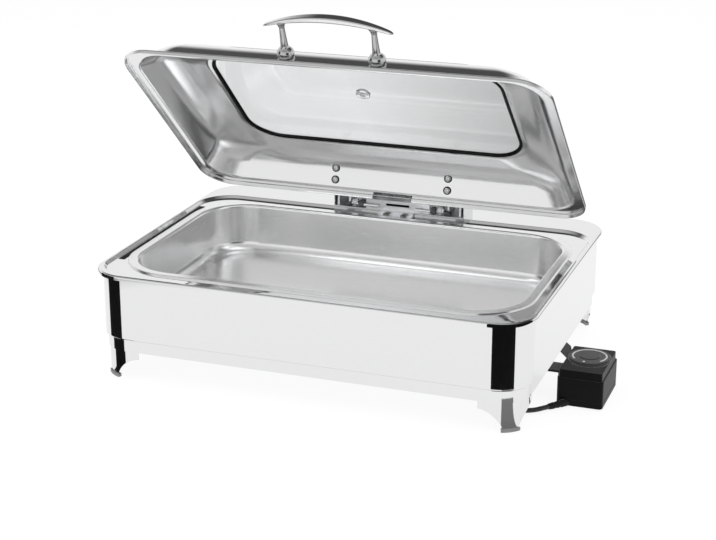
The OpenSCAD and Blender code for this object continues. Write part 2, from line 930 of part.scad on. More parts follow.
// Corner radius at an inset: closing over the wall, opening over the slope, then round the window
function corner_at(d) =
    let (top_r = lid_r - corner_close * lid_top, ledge_r = window_r + ledge_w)
    d <= lid_top ? lid_r - corner_close * max(d, 0)
    : d <= ledge_out ? top_r + (d - lid_top) * (ledge_r - top_r) / (ledge_out - lid_top)
    : ledge_r - (d - ledge_out);

function lid_ring(p, n) =
    ring(lid_l / 2 - long_inset(p[0]), lid_w / 2 - p[0], corner_at(p[0]), lid_z + p[1], n);

module lid_form() {
    corner_steps = 8;
    count = 4 * (corner_steps + 1);
    profile = concat(lid_path, backwards(beside(lid_path, lid_t)));
    stations = len(profile);
    points = [for (p = profile) each lid_ring(p, corner_steps)];
    faces = [
        for (s = [0:stations - 1], i = [0:count - 1])
            let (t = (s + 1) % stations, k = (i + 1) % count)
            each [
                [s * count + i, t * count + i, s * count + k],
                [s * count + k, t * count + i, t * count + k]
            ]
    ];
    translate([0, -pan_shift, 0])
        polyhedron(points, faces, convexity = 8);
}

// Places on the lid's front (way -1) or rear (way 1) wall, with Z along the wall's outward normal
module on_wall(way, x, up) {
    translate([x, -pan_shift + way * (lid_w / 2 - lid_flange - up * lid_lean / lid_wall), lid_z + up])
        rotate([-way * (90 - wall_slope), 0, 0])
            children();
}

module lid_screw_places() {
    for (x = [-1, 1], up = [lid_screw_low, lid_screw_high])
        on_wall(1, x * arm_x, up)
            children();
}

module lid_shell() {
    color("lightgray")
        difference() {
            lid_form();
            lid_screw_places()
                cylinder(h = 8, d = screw_hole, center = true);
            for (x = [-1, 1])
                on_wall(-1, x * post_gap / 2, post_up)
                    cylinder(h = 8, d = stud_d + 2 * slip, center = true);
            translate([-tab_w / 2 - notch_room, lid_back - 5, lid_z - lid_lip - 1])
                cube([tab_w + 2 * notch_room, 10, lid_lip + 1 - notch_roof]);
        }
}

module window_glass() {
    color("lightblue", 0.4)
        translate([0, -pan_shift, glass_z])
            difference() {
                linear_extrude(glass_t)
                    rounded_sheet(window_l + 2 * glass_lap, window_w + 2 * glass_lap, window_r + glass_lap);
                translate([0, -vent_shift, -1])
                    cylinder(h = glass_t + 2, d = vent_bore + 6);
            }
}

module window_gasket() {
    inside = glass_lap + slip;
    outside = inside + gasket_wall;
    color("black")
        translate([0, -pan_shift, lid_z + lid_h + touch]) {
            ring_plate(window_l, window_w, window_r, -gasket_lip, outside, gasket_t - 2 * touch);
            ring_plate(window_l, window_w, window_r, inside, outside, gasket_t + glass_t - 2 * touch);
        }
}

module window_frame() {
    inside = glass_lap + gasket_wall + 2 * slip;
    outside = inside + frame_wall;
    color("silver")
        translate([0, -pan_shift, 0]) {
            translate([0, 0, glass_z + glass_t + touch])
                ring_plate(window_l, window_w, window_r, frame_t / 2, outside, frame_t);
            translate([0, 0, lid_z + lid_h + touch])
                ring_plate(window_l, window_w, window_r, inside, outside, gasket_t + glass_t + frame_t / 2);
        }
}

module vent_ring() {
    bore = vent_bore / 2;
    neck = bore + 3 - slip;
    color("silver")
        translate([0, -pan_shift - vent_shift, glass_z])
            rotate_extrude()
                polygon([
                    [bore, -2], [bore + 5, -2], [bore + 6, -1], [bore + 6, -touch], [neck, -touch],
                    [neck, glass_t + touch], [bore + 6, glass_t + touch], [bore + 6, glass_t + 1.2],
                    [bore + 5, glass_t + 2.4], [bore, glass_t + 2.4]
                ]);
}

module hinge_arms() {
    normal = [cos(wall_slope), sin(wall_slope)];
    function wall_point(up) =
        [lid_back - lid_flange - up * lid_lean / lid_wall, lid_z + up] + touch * normal;
    low = wall_point(arm_low);
    high = wall_point(arm_high);
    color("gainsboro")
        difference() {
            for (x = [-1, 1])
                translate([x * arm_x - arm_w / 2, 0, 0])
                    rotate([90, 0, 90])
                        linear_extrude(arm_w)
                            difference() {
                                union() {
                                    polygon([
                                        low, high, high + 4 * normal, [pivot_y, pivot_z + eye_r],
                                        [pivot_y, pivot_z - eye_r], low + 3.5 * normal
                                    ]);
                                    translate([pivot_y, pivot_z])
                                        circle(eye_r);
                                }
                                translate([pivot_y, pivot_z])
                                    circle(pin_d / 2 + pin_gap);
                            }
            lid_screw_places()
                cylinder(h = 14, d = screw_hole, center = true);
        }
}

module hinge_pin() {
    half = arm_x + ear_side + ear_t / 2;
    color("silver")
        translate([-half - 2, pivot_y, pivot_z])
            rotate([0, 90, 0])
                cylinder(h = 2 * half + 4, d = pin_d);
}

module lid_screws() {
    color("silver")
        lid_screw_places()
            rotate([180, 0, 0])
                translate([0, 0, lid_t + touch])
                    pan_screw(screw_d, lid_t + 6);
}

// Handle

module handle_posts() {
    color("silver")
        for (x = [-1, 1])
            on_wall(-1, x * post_gap / 2, post_up) {
                rotate_extrude()
                    polygon(concat(
                        [[0, touch], [base_r, touch], [base_r, 1.5]],
                        fillet([base_r, 1.5], [base_r - 2, 7], [4, 8], 4, 4),
                        fillet([base_r - 2, 7], [4, 9], [4, 20], 2, 4),
                        fillet([4, 20], [4, post_l - 8], [6, post_l], 6, 4),
                        [[6.5, post_l], [0, post_l]]));
                translate([0, 0, -6])
                    cylinder(h = 6 + touch, d = stud_d);
            }
}

// Radius of an arc over the bar's length with a given rise
function arc_radius(rise) = (bar_l * bar_l / 4 + rise * rise) / (2 * rise);

module handle_bar() {
    arch_r = arc_radius(bar_rise);
    under_r = arc_radius(bar_rise - bar_t + bar_end_t);
    side_r = arc_radius((bar_w - bar_end_w) / 2);
    post_drop = under_r - sqrt(under_r * under_r - post_gap * post_gap / 4);
    top = post_l - post_seat + post_drop + bar_t;
    color("silver")
        on_wall(-1, 0, post_up)
            difference() {
                intersection() {
                    translate([0, 0, top - arch_r])
                        rotate([90, 0, 0])
                            cylinder(h = 2 * bar_w, r = arch_r, center = true, $fn = fine);
                    translate([0, side_r - bar_w / 2, 0])
                        cylinder(h = 2 * top, r = side_r, $fn = fine);
                    translate([0, bar_w / 2 - side_r, 0])
                        cylinder(h = 2 * top, r = side_r, $fn = fine);
                    translate([-bar_l / 2, -bar_w, 0])
                        cube([bar_l, 2 * bar_w, 2 * top]);
                }
                translate([0, 0, top - bar_t - under_r])
                    rotate([90, 0, 0])
                        cylinder(h = 2 * bar_w, r = under_r, center = true, $fn = fine);
                for (x = [-1, 1])
                    translate([x * post_gap / 2, 0, -1])
                        cylinder(h = post_l + 1 + touch, d = 14);
            }
}

module handle_nuts() {
    color("silver")
        for (x = [-1, 1])
            on_wall(-1, x * post_gap / 2, post_up)
                translate([0, 0, -lid_t - touch])
                    rotate([180, 0, 0])
                        difference() {
                            rotate_extrude()
                                polygon([
                                    [0, 0], [stud_d, 0], [stud_d, 3],
                                    [stud_d - 1, 5.5], [stud_d - 3, 7], [0, 7.4]
                                ]);
                            translate([0, 0, -1])
                                cylinder(h = 6.2, d = stud_d + 2 * slip);
                        }
}

// Control box on two arms

module bracket_screw_places() {
    for (y = [bracket_front + 13, rear_arm_y + 8])
        translate([wall_l / 2 - 58, y, tray_z])
            children();
}

module control_bracket() {
    inner = wall_l / 2 - 74;
    back_end = box_y + box_w / 2 - 2;
    rear_end = rear_arm_y + rear_arm_w;
    color("black")
        difference() {
            union() {
                translate([0, 0, arm_z])
                    linear_extrude(arm_t) {
                        translate([inner, bracket_front])
                            square([box_x - inner, front_arm_w]);
                        translate([inner, bracket_front])
                            square([30, rear_end - bracket_front]);
                        polygon([
                            [inner, rear_arm_y], [box_x - 24, rear_arm_y], [box_x, back_end - 20],
                            [box_x, back_end], [box_x - 7, rear_end - 11], [box_x - 15, rear_end],
                            [inner, rear_end]
                        ]);
                    }
                translate([box_x - arm_t, bracket_front, arm_z - 12])
                    cube([arm_t, back_end - bracket_front, 12 + arm_t]);
                bracket_screw_places()
                    translate([0, 0, arm_z + arm_t - tray_z - touch])
                        cylinder(h = tray_z - arm_z - arm_t, d = 12);
            }
            bracket_screw_places()
                cylinder(h = 40, d = screw_hole, center = true);
        }
}

module bracket_screws() {
    color("silver")
        bracket_screw_places() {
            translate([0, 0, arm_z - tray_z - touch])
                rotate([180, 0, 0])
                    pan_screw(screw_d, tray_z - arm_z + sheet + 1);
            translate([0, 0, sheet + 2 * touch])
                difference() {
                    cylinder(h = 3, d = 8, $fn = 6);
                    translate([0, 0, -1])
                        cylinder(h = 5, d = 4 + 2 * slip);
                }
        }
}

module box_sheet(inset) {
    translate([box_x + box_l / 2, box_y])
        rounded_sheet(box_l - 2 * inset, box_w - 2 * inset, 5 - inset);
}

module control_base() {
    color("black")
        difference() {
            translate([0, 0, box_foot])
                linear_extrude(box_split - box_foot)
                    box_sheet(0);
            translate([0, 0, box_foot + box_t])
                linear_extrude(box_split)
                    box_sheet(box_t);
        }
}

module control_housing() {
    step = box_h - 10;
    color("black")
        difference() {
            union() {
                translate([0, 0, box_split + touch])
                    linear_extrude(step - box_split)
                        box_sheet(0);
                translate([0, 0, step])
                    linear_extrude(box_h - step)
                        box_sheet(2);
            }
            translate([0, 0, box_split - 1])
                linear_extrude(box_h - box_t - box_split + 1)
                    box_sheet(2 + box_t);
            translate([dial_x, box_y, box_h - 5])
                cylinder(h = 10, d = spindle_d + 1);
        }
}

module control_feet() {
    color("dimgray")
        for (x = [10, box_l - 10], y = [-1, 1])
            translate([box_x + x, box_y + y * (box_w / 2 - 10), 0])
                cylinder(h = box_foot - touch, d = 9);
}

module thermostat() {
    top = box_h - box_t - touch;
    color("burlywood")
        difference() {
            union() {
                translate([dial_x - 17, box_y - 17, top - 20])
                    cube([34, 34, 17]);
                translate([dial_x, box_y, top - 4])
                    cylinder(h = 4, d = 16);
            }
            translate([dial_x, box_y, top - 12])
                cylinder(h = 20, d = spindle_d + 2 * pin_gap);
        }
}

module dial_knob() {
    r = dial_d / 2;
    color("dimgray")
        translate([dial_x, box_y, box_h + seat_gap])
            difference() {
                rotate_extrude()
                    polygon([
                        [0, 0], [r - 1, 0], [r, 1], [r, dial_t - 1.2], [r - 1.2, dial_t],
                        [r * 0.5, dial_t], [r * 0.5 - 1, dial_t + 1], [0, dial_t + 1]
                    ]);
                translate([0, 0, -1])
                    cylinder(h = dial_t - 0.5, d = spindle_d + 2 * touch);
                for (turn = [0:15:345])
                    rotate(turn)
                        translate([r + 0.6, 0, -1])
                            cylinder(h = dial_t + 2, d = 2.4);
            }
}

// The silver scale on the dial, open to the front
module dial_scale() {
    color("silver")
        translate([dial_x, box_y, box_h + seat_gap + dial_t + touch]) {
            rotate(-40)
                rotate_extrude(angle = 260)
                    translate([dial_d * 0.37, 0])
                        square([2.2, 0.3]);
            translate([-3, -dial_d * 0.38, 0])
                cylinder(h = 0.3, d = 3.4);
        }
}

module dial_spindle() {
    color("silver")
        translate([dial_x, box_y, box_h - box_t - 10])
            cylinder(h = 10 + box_t + seat_gap + dial_t - 1.6, d = spindle_d);
}

// Mains cord

module strain_relief() {
    color("black")
        difference() {
            translate([relief_x, relief_y, relief_z])
                rotate([90, 0, -relief_turn])
                    translate([0, 0, -8])
                        rotate_extrude()
                            polygon([
                                [0, 0], [4.6, 0], [4.6, 14], [4, 15], [4, 17], [4.4, 18], [3.9, 22],
                                [3.9, 24], [4.2, 25], [3.6, relief_l + 8], [0, relief_l + 8]
                            ]);
            translate([relief_x - 30, relief_y - touch, -5])
                cube([60, 40, 40]);
        }
}

module mains_cord() {
    color("black")
        swept_tube(cord_route, cord_d, 10);
}

module plug_lead() {
    color("black")
        swept_tube(plug_route, cord_d, 10);
}

module cord_coil() {
    color("black")
        translate([coil_x, coil_y, coil_z])
            rotate_extrude()
                translate([coil_r - cord_d, 0])
                    square([2 * cord_d, 2 * cord_d]);
}

module cord_tie() {
    inner = 2 * cord_d + 2 * slip;
    color("dimgray")
        translate([coil_x, coil_y, coil_z + cord_d])
            rotate(200)
                translate([coil_r, 0, 0])
                    difference() {
                        cube([inner + 2, 7, inner + 2], center = true);
                        cube([inner + 0.6, 8, inner], center = true);
                    }
}

module plug_body() {
    color("black")
        translate([plug_x, plug_y, plug_z])
            rotate([0, -90, 0]) {
                rotate_extrude()
                    polygon([
                        [0, touch], [4, touch], [4.4, 5], [4.1, 6], [4.1, 7.5], [4.8, 8.5], [4.5, 10],
                        [4.5, 11.5], [5.4, 12.5], [6, 17], [0, 17]
                    ]);
                translate([0, 0, 16])
                    linear_extrude(26)
                        rounded_sheet(22, 27, 7);
            }
}

module plug_pins() {
    color("goldenrod")
        translate([plug_x - 42 - touch, plug_y, plug_z])
            rotate([0, -90, 0]) {
                for (y = [-1, 1])
                    translate([1, y * 6.35, 8])
                        cube([6.5, 1.5, 16], center = true);
                translate([-6.5, 0, 0])
                    cylinder(h = 18, d = 4.8);
            }
}

placed() casing();
placed() top_frame();
placed() lower_band();
placed() base_tray();
placed() water_pan();
placed() food_pan();
placed() front_left_leg();
placed() front_right_leg();
placed() rear_left_leg();
placed() rear_right_leg();
placed() foot_caps();
placed() heater_plate();
placed() heating_element();
placed() element_clips();
placed() tray_posts();
placed() tray_screws();
placed() hinge_base();
placed() hinge_dampers();
placed() hinge_cover();
placed() hinge_base_screws();
lid_placed() lid_shell();
lid_placed() window_glass();
lid_placed() window_gasket();
lid_placed() window_frame();
lid_placed() vent_ring();
lid_placed() hinge_arms();
lid_placed() hinge_pin();
lid_placed() lid_screws();
lid_placed() handle_bar();
lid_placed() handle_posts();
lid_placed() handle_nuts();
placed() control_bracket();
placed() bracket_screws();
placed() control_base();
placed() control_housing();
placed() control_feet();
placed() thermostat();
placed() dial_knob();
placed() dial_scale();
placed() dial_spindle();
placed() strain_relief();
placed() mains_cord();
placed() cord_coil();
placed() cord_tie();
placed() plug_lead();
placed() plug_body();
placed() plug_pins();
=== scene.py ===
import json
from math import atan2, copysign, cos, pi, radians, sin, sqrt, tan

import bmesh
import bpy
from bpy.props import FloatProperty, FloatVectorProperty, IntProperty, PointerProperty
from bpy.types import Operator, Panel, PropertyGroup
from mathutils import Matrix, Vector


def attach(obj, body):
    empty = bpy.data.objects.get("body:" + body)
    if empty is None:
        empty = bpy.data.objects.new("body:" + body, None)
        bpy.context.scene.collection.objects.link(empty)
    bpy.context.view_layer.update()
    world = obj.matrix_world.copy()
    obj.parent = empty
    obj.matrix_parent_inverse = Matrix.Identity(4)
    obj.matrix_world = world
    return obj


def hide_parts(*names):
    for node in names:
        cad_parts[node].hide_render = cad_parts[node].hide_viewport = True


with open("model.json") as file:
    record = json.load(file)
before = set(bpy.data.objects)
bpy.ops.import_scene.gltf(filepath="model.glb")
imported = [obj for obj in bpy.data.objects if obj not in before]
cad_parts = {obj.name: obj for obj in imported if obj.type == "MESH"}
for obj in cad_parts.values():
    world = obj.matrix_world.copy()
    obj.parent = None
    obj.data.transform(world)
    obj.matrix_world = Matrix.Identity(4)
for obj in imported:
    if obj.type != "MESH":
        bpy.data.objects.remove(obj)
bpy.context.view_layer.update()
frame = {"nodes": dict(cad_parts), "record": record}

bl_info = {
    "name": "Electric chafing dish",
    "version": (1, 0, 0),
    "blender": (4, 5, 0),
    "location": "3D View > Sidebar > Chafing dish",
    "description": "Finishes, smooth sheet-metal shells, cord and studio for an electric chafing dish",
    "category": "Object",
}

NODES = frame["nodes"]

# The middle of the dish in the row frame, and the lid's pivot
DISH_X = -0.03225
PIVOT = Vector((DISH_X, 0.178, 0.176))

# Bridging needs a height between neighbouring rings to tell which way round they run
LEVEL = 0.00002
# Gap under the closed lid's lip
LID_GAP = 0.0004


# Sizes and colours

def length(name, description, default):
    """A length in metres that a user may change."""
    return FloatProperty(name=name, description=description, default=default, unit="LENGTH", precision=4)


def colour(name, description, default):
    """A surface colour that a user may change."""
    return FloatVectorProperty(
        name=name, description=description, default=default, subtype="COLOR", min=0, max=1)


class DishLidSizes(PropertyGroup):
    """Sizes of the lid."""
    long: length("Length", "Length of the flange", 0.5476)
    wide: length("Width", "Width of the flange, front to back", 0.3538)
    corner: length("Corner", "Corner radius of the flange", 0.041)
    lip: length("Lip", "Depth of the turned-down lip", 0.0062)
    flange: length("Flange", "Width of the flat flange", 0.013)
    wall: length("Wall", "Height of the side wall", 0.032)
    lean: length("Lean", "Run of the side wall from foot to shoulder", 0.018)
    rise: length("Rise", "Height of the window ledge above the flange", 0.043)
    border_long: length("End border", "Border round the window at the ends", 0.0823)
    border_wide: length("Side border", "Border round the window at front and back", 0.0687)
    ledge: length("Ledge", "Width of the ledge under the glass", 0.008)
    window_corner: length("Window corner", "Corner radius of the window", 0.045)
    sheet: length("Sheet", "Sheet thickness", 0.001)
    open_angle: FloatProperty(
        name="Open", description="How far the lid stands open", default=radians(42.4), subtype="ANGLE")


class DishHandleSizes(PropertyGroup):
    """Sizes of the lid's handle."""
    post_gap: length("Post gap", "Distance between the posts", 0.117)
    post_long: length("Post length", "Length of a post from the lid to the bar", 0.047)
    post_up: length("Post height", "Height of the posts up the lid's wall", 0.0175)
    bar_long: length("Bar length", "Length of the bar", 0.165)
    bar_rise: length("Bar rise", "Rise of the bar's arch", 0.016)
    bar_deep: length("Bar depth", "Depth of the bar in its middle", 0.015)
    bar_thick: length("Bar thickness", "Thickness of the bar in its middle", 0.007)
    end_deep: length("End depth", "Depth of the bar at its ends", 0.006)
    end_thick: length("End thickness", "Thickness of the bar at its ends", 0.003)


class DishBaseSizes(PropertyGroup):
    """Sizes of the base and the food pan."""
    wall_long: length("Wall length", "Length of the casing wall", 0.558)
    wall_wide: length("Wall width", "Width of the casing wall", 0.409)
    wall_corner: length("Wall corner", "Corner radius of the casing wall", 0.042)
    rim_long: length("Rim length", "Length of the rim", 0.567)
    rim_wide: length("Rim width", "Width of the rim", 0.427)
    rim_corner: length("Rim corner", "Corner radius of the rim", 0.048)
    rim_top: length("Rim height", "Height of the rim above the table", 0.141)
    shelf: length("Recess", "Depth of the lid's recess", 0.0035)
    pan_long: length("Pan length", "Length of the food pan's mouth", 0.505)
    pan_wide: length("Pan width", "Width of the food pan's mouth", 0.3)
    pan_corner: length("Pan corner", "Corner radius of the food pan's mouth", 0.062)
    pan_deep: length("Pan depth", "Depth of the food pan", 0.065)
    pan_front: length("Pan place", "How far the pan's middle lies towards the front", 0.023)


class DishFinishes(PropertyGroup):
    """Colours of the finishes."""
    polished: colour("Polished steel", "Mirror-polished base sheets", (0.79, 0.79, 0.794))
    satin: colour("Satin steel", "Food pan", (0.9, 0.9, 0.902))
    lid: colour("Lid steel", "Polished lid", (0.8, 0.8, 0.803))
    chrome: colour("Chrome", "Handle and trim", (0.86, 0.86, 0.87))
    zinc: colour("Zinc plate", "Hinge and tray", (0.68, 0.69, 0.7))
    glass: colour("Glass", "Window glass", (0.83, 0.84, 0.845))
    black_plastic: colour("Black plastic", "Control box", (0.006, 0.006, 0.0065))
    dial: colour("Dial", "Dial disc", (0.035, 0.035, 0.037))
    rubber: colour("Rubber", "Seal and strain relief", (0.008, 0.008, 0.008))
    feet: colour("Foot rubber", "Caps on the legs", (0.3, 0.3, 0.3))
    jacket: colour("Cord jacket", "Mains cord", (0.012, 0.012, 0.012))
    brass: colour("Brass", "Plug pins", (0.72, 0.53, 0.26))


class DishCordSizes(PropertyGroup):
    """Sizes of the mains cord."""
    thick: length("Diameter", "Diameter of the cord", 0.006)
    coil: length("Coil", "Radius of the coil at the middle of its turns", 0.036)
    steps: IntProperty(name="Steps", description="Points to each stretch of the route", default=4, min=2)


SIZE_GROUPS = {
    "dish_lid": DishLidSizes,
    "dish_handle": DishHandleSizes,
    "dish_base": DishBaseSizes,
    "dish_cord": DishCordSizes,
    "dish_finish": DishFinishes,
}


# Modelling helpers

def clear_selection():
    """Leaves edit mode and deselects everything."""
    if bpy.context.mode != "OBJECT":
        bpy.ops.object.mode_set(mode="OBJECT")
    bpy.ops.object.select_all(action="DESELECT")


def take(piece):
    """Makes a piece the only selected and active object."""
    clear_selection()
    piece.select_set(True)
    bpy.context.view_layer.objects.active = piece


def edit_all(piece):
    """Opens a piece for editing with all of it selected."""
    take(piece)
    bpy.ops.object.mode_set(mode="EDIT")
    bpy.ops.mesh.select_all(action="SELECT")


def empty_mesh(name):
    """Starts a piece with nothing in it, open for editing."""
    clear_selection()
    bpy.ops.mesh.primitive_plane_add(size=0.001)
    piece = bpy.context.object
    piece.name = piece.data.name = name
    bpy.ops.object.mode_set(mode="EDIT")
    bpy.ops.mesh.delete(type="VERT")
    return piece


def apply_modifier(piece, kind, **values):
    """Adds a modifier with its values and applies it."""
    take(piece)
    made = piece.modifiers.new(kind, kind)
    for key, value in values.items():
        setattr(made, key, value)
    bpy.ops.object.modifier_apply(modifier=made.name)


def rounded_loop(centre, long, wide, corner, steps):
    """Adds one rounded rectangle of edges to the mesh that is being edited."""
    bpy.ops.mesh.primitive_plane_add(size=1, location=centre)
    bpy.ops.transform.resize(value=(long, wide, 1), center_override=centre)
    bpy.ops.mesh.bevel(offset=corner, offset_type="OFFSET", segments=steps, affect="VERTICES", profile=0.5)
    bpy.ops.mesh.delete(type="ONLY_FACE")


def loft(name, rings, steps, capped=False):
    """Bridges rounded rectangles, each given as centre, length, width and corner radius, into one skin.

    The skin closes on its first ring, or is capped at both ends.
    """
    piece = empty_mesh(name)
    bm = bmesh.from_edit_mesh(piece.data)
    bm.verts.layers.int.new("ring")
    bmesh.update_edit_mesh(piece.data)
    height = None
    for number, (centre, long, wide, corner) in enumerate(rings):
        up = centre[2]
        if height is not None and abs(up - height) < LEVEL:
            up = height + LEVEL
        height = up
        rounded_loop((*centre[:2], up), long, wide, corner, steps)
        bm = bmesh.from_edit_mesh(piece.data)
        layer = bm.verts.layers.int["ring"]
        for vert in bm.verts:
            if vert[layer] == 0:
                vert[layer] = number + 1
    count = len(rings)
    for number in range(count - 1 if capped else count):
        select_rings(piece, (number, (number + 1) % count))
        bpy.ops.mesh.bridge_edge_loops()
    for number in (0, count - 1) if capped else ():
        select_rings(piece, (number,))
        bpy.ops.mesh.edge_face_add()
    bpy.ops.mesh.select_all(action="SELECT")
    bpy.ops.mesh.normals_make_consistent(inside=False)
    clear_selection()
    return piece


def select_rings(piece, numbers):
    """Selects the edges of the numbered rings of a loft, whose mark is their number plus one."""
    bpy.ops.mesh.select_mode(type="EDGE")
    bm = bmesh.from_edit_mesh(piece.data)
    layer = bm.verts.layers.int["ring"]
    for part in (*bm.verts, *bm.faces):
        part.select = False
    for edge in bm.edges:
        a, b = edge.verts
        edge.select = a[layer] == b[layer] and a[layer] - 1 in numbers


def arc(centre, radius, first, last, steps):
    """Points on an arc from one angle to another."""
    turns = [first + (last - first) * i / steps for i in range(steps + 1)]
    return [centre + radius * Vector((cos(turn), sin(turn))) for turn in turns]


def arc_corner(before, corner, after, radius, steps):
    """Points that round one corner of a profile."""
    a, b, c = Vector(before), Vector(corner), Vector(after)
    u, v = (a - b).normalized(), (c - b).normalized()
    half = u.angle(v) / 2
    centre = b + (u + v).normalized() * radius / sin(half)
    start = b + u * radius / tan(half) - centre
    first = atan2(start.y, start.x)
    turn = copysign(pi - 2 * half, v.cross(u))
    return arc(centre, radius, first, first + turn, steps)


def rounded_profile(points, radii, steps):
    """An open profile with its inner corners rounded."""
    path = [Vector(points[0])]
    for i in range(1, len(points) - 1):
        if radii[i]:
            path += arc_corner(points[i - 1], points[i], points[i + 1], radii[i], steps)
        else:
            path.append(Vector(points[i]))
    return path + [Vector(points[-1])]


def beside(path, distance):
    """A profile moved sideways, to its right."""
    moved = []
    for i, point in enumerate(path):
        way = (path[min(i + 1, len(path) - 1)] - path[max(i - 1, 0)]).normalized()
        moved.append(point + distance * Vector((way.y, -way.x)))
    return moved


def rounded_end(a, b):
    """Points of the half round that closes a sheet's edge from a to b."""
    half = (a - b) / 2
    turn = atan2(half.y, half.x)
    return arc((a + b) / 2, half.length, turn, turn - pi, 4)[1:-1]


def carried(profile, long, wide, corner, centre):
    """Rings that carry a profile round a rounded rectangle, with x outwards from the corner's centre."""
    return [((*centre, z), long + 2 * (x - corner), wide + 2 * (x - corner), x) for x, z in profile]


def soften(piece, width, angle):
    """Rounds the edges of a piece that are sharper than an angle."""
    apply_modifier(
        piece, "BEVEL", width=width, segments=3, limit_method="ANGLE", angle_limit=radians(angle))


def smooth(piece, angle):
    """Shades a piece smooth, apart from its sharp edges, and keeps its large flats flat."""
    take(piece)
    bpy.ops.object.shade_smooth_by_angle(angle=radians(angle))
    apply_modifier(piece, "WEIGHTED_NORMAL", keep_sharp=True)


def open_lid(piece):
    """Turns a piece that was laid out on the closed lid to the lid's place at rest."""
    edit_all(piece)
    bpy.ops.transform.rotate(
        value=bpy.context.scene.dish_lid.open_angle, orient_axis="X", center_override=PIVOT)
    clear_selection()


def put(piece, matrix):
    """Puts a piece that was made at the origin in its place, and leaves its object at the origin."""
    take(piece)
    piece.matrix_world = matrix
    bpy.ops.object.transform_apply(location=True, rotation=True, scale=True)


def added(name, data):
    """A new object in the scene."""
    made = bpy.data.objects.new(name, data)
    bpy.context.scene.collection.objects.link(made)
    return made


def copied(piece, name):
    """A copy of a piece with its own mesh."""
    twin = added(name, piece.data.copy())
    twin.data.name = name
    return twin


def flange_height(scene):
    """Height of the closed lid's flange."""
    return scene.dish_base.rim_top - scene.dish_base.shelf + LID_GAP + scene.dish_lid.lip


def on_lid_wall(scene, way, x, up):
    """A place on the open lid's front (way -1) or rear (way 1) wall, with Z out from the sheet."""
    lid = scene.dish_lid
    lean = atan2(lid.lean, lid.wall)
    inset = lid.flange + up * lid.lean / lid.wall
    spot = Vector((
        DISH_X + x, way * (lid.wide / 2 - inset) - scene.dish_base.pan_front, flange_height(scene) + up))
    closed = Matrix.Translation(spot) @ Matrix.Rotation(-way * (pi / 2 - lean), 4, "X")
    turn = Matrix.Rotation(-lid.open_angle, 4, "X")
    return Matrix.Translation(PIVOT) @ turn @ Matrix.Translation(-PIVOT) @ closed


def turned(name, profile, steps=8):
    """A closed round piece from radius and height pairs, standing on the origin."""
    rings = [((0, 0, z), 2 * r, 2 * r, 0.9999 * r) for r, z in profile]
    return loft(name, rings, steps, capped=True)


def finish_piece(piece, body, slot, *nodes, finish=None):
    """Paints a piece, puts it on its body and lets it stand for CAD nodes."""
    piece.data.materials.clear()
    piece.data.materials.append(MATERIALS[finish or slot])
    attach(piece, body)
    if nodes:
        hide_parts(*nodes)


def box(centre, size):
    """Adds a box with its place in its mesh."""
    clear_selection()
    bpy.ops.mesh.primitive_cube_add(size=1, location=centre)
    piece = bpy.context.object
    piece.scale = size
    bpy.ops.object.transform_apply(location=True, scale=True)
    return piece


def box_cut(piece, centre, size):
    """Cuts a box out of a piece."""
    cutter = box(centre, size)
    apply_modifier(piece, "BOOLEAN", operation="DIFFERENCE", object=cutter)
    bpy.data.objects.remove(cutter)


def wedge(name, centre, size, drop, bevel):
    """A rounded block whose top falls towards +X by a drop."""
    piece = box(centre, size)
    piece.name = piece.data.name = name
    bpy.ops.object.mode_set(mode="EDIT")
    bpy.ops.mesh.select_mode(type="VERT")
    bm = bmesh.from_edit_mesh(piece.data)
    for vert in bm.verts:
        vert.select = vert.co.z > centre[2] and vert.co.x > centre[0]
    bm.select_flush_mode()
    bmesh.update_edit_mesh(piece.data)
    bpy.ops.transform.translate(value=(0, 0, -drop))
    soften(piece, bevel, 30)
    smooth(piece, 35)
    return piece


def rounded_copy(node, width, finish=None):
    """A copy of a CAD piece with its flats joined and its edges rounded, which stands for it."""
    record = frame["record"]
    slot = next(entry["material_slot"] for entry in record["subparts"] if entry["node"] == node)
    body = next(name for name, nodes in record["behaviour"]["bodies"].items() if node in nodes)
    piece = copied(NODES[node], node + "_soft")
    take(piece)
    bpy.ops.mesh.customdata_custom_splitnormals_clear()
    edit_all(piece)
    bpy.ops.mesh.remove_doubles(threshold=0.000002)
    bpy.ops.mesh.dissolve_limited(angle_limit=radians(0.4))
    soften(piece, width, 32)
    smooth(piece, 32)
    finish_piece(piece, body, slot, node, finish=finish)
    return piece


# Materials

